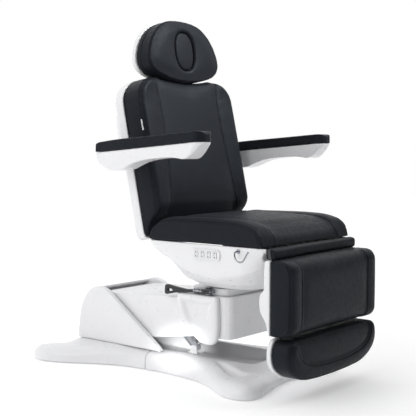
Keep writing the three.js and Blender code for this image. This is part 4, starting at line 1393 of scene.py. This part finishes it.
def make_hook():
    wire_tube = tube("hook", hook_line, HOOK_RADIUS, sides=12)
    tip = lathed("tip", [
        (-0.0036, 0.0006), (-0.0030, 0.0024), (-0.0010, 0.0036), (0.0010, 0.0036), (0.0030, 0.0024),
        (0.0036, 0.0006),
    ], hook_line[-1], (0, 0, 1), 16)
    rose = lathed("rose", [
        (0, 0.0085), (0.0012, 0.0085), (0.0022, 0.0072), (0.0026, 0.0040), (0.0026, 0.0002),
    ], (SWIVEL + 0.264, -0.3034, 0.542), (0, -1, 0), 24)
    piece = joined_things("hook_wire", [wire_tube, tip, rose], "chrome")
    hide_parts("remote_hook")
    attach(piece, "seat")


LEVER_Y = -0.176


def make_lock_fittings():
    """The turned collar where the lever's handle meets its hub, and the ribbed joint above the hub."""
    collar = lathed("lock_collar", [
        (0, 0.0050), (0.0015, 0.0080), (0.004, 0.0092), (0.007, 0.0092), (0.009, 0.0078), (0.012, 0.0076),
        (0.014, 0.0092), (0.022, 0.0096), (0.030, 0.0092), (0.032, 0.0078), (0.035, 0.0076), (0.037, 0.0090),
        (0.045, 0.0090), (0.047, 0.0070), (0.0485, 0.0040),
    ], (SWIVEL - 0.0560, LEVER_Y, 0.3535), (1, 0, 0.012), 40, "chrome", 10, 0.16)
    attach(collar, "lock_lever")
    joint = lathed("lock_joint", [
        (0, 0.0070), (0.001, 0.0125), (0.004, 0.0140), (0.006, 0.0140), (0.0075, 0.0122), (0.010, 0.0122),
        (0.0115, 0.0140), (0.017, 0.0140), (0.0185, 0.0122), (0.021, 0.0122), (0.0225, 0.0135),
        (0.026, 0.0135),
        (0.028, 0.0110), (0.0285, 0.0040),
    ], (SWIVEL + 0.022, LEVER_Y, 0.3452), (0, 0, 1), 40, "black_plastic", 12, 0.12)
    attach(joint, "column")


TAG_AT, TAG_LOW, TAG_HIGH = -0.2915, 0.449, 0.493


def make_tag():
    """A small blank white fabric tag let into the back cushion's near outer seam."""
    near = BACK_FRONT - 0.020
    corners = box_corners((TAG_AT - 0.0085, TAG_LOW, near), (TAG_AT + 0.004, TAG_HIGH, near + 0.0045))
    tag = new_thing("back_tag", BACK.placed(corners), BOX_FACES)
    voxelised(tag, 0.0011)
    relaxed(tag, 3)
    smooth_shaded(tag)
    finish_as(tag, "key_plastic")
    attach(tag, "back")


def make_bumper():
    """A black rubber stop under the column's far front corner."""
    bumper = lathed("column_bumper", [
        (0, 0.004), (0.001, 0.020), (0.004, 0.026), (0.010, 0.028), (0.018, 0.028), (0.026, 0.028),
    ], (SWIVEL + 0.060, 0.110, 0.160), (0, 0, 1), 40, "rubber")
    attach(bumper, "column")


def make_caps():
    """Blank screw caps on the covers."""
    cap_profile = [(-0.003, 0.0052), (0.0006, 0.0052), (0.0013, 0.0044), (0.0016, 0.0024), (0.0016, 0.0002)]
    front_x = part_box("column_front_cover")[1][0]
    spots_for_caps = [
        ("column_cap_right", (front_x - 0.0002, -0.030, 0.242), (1, 0, 0), "column"),
        ("column_cap_side", (SWIVEL + 0.094, -0.1500, 0.262), (0.62, -0.78, 0), "column"),
    ]
    for name, place, ahead, body in spots_for_caps:
        cap = lathed(name, cap_profile, place, ahead, 24, "white_plastic")
        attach(cap, body)


make_key_marks()
make_hook()
make_lock_fittings()
make_tag()
make_bumper()
make_caps()
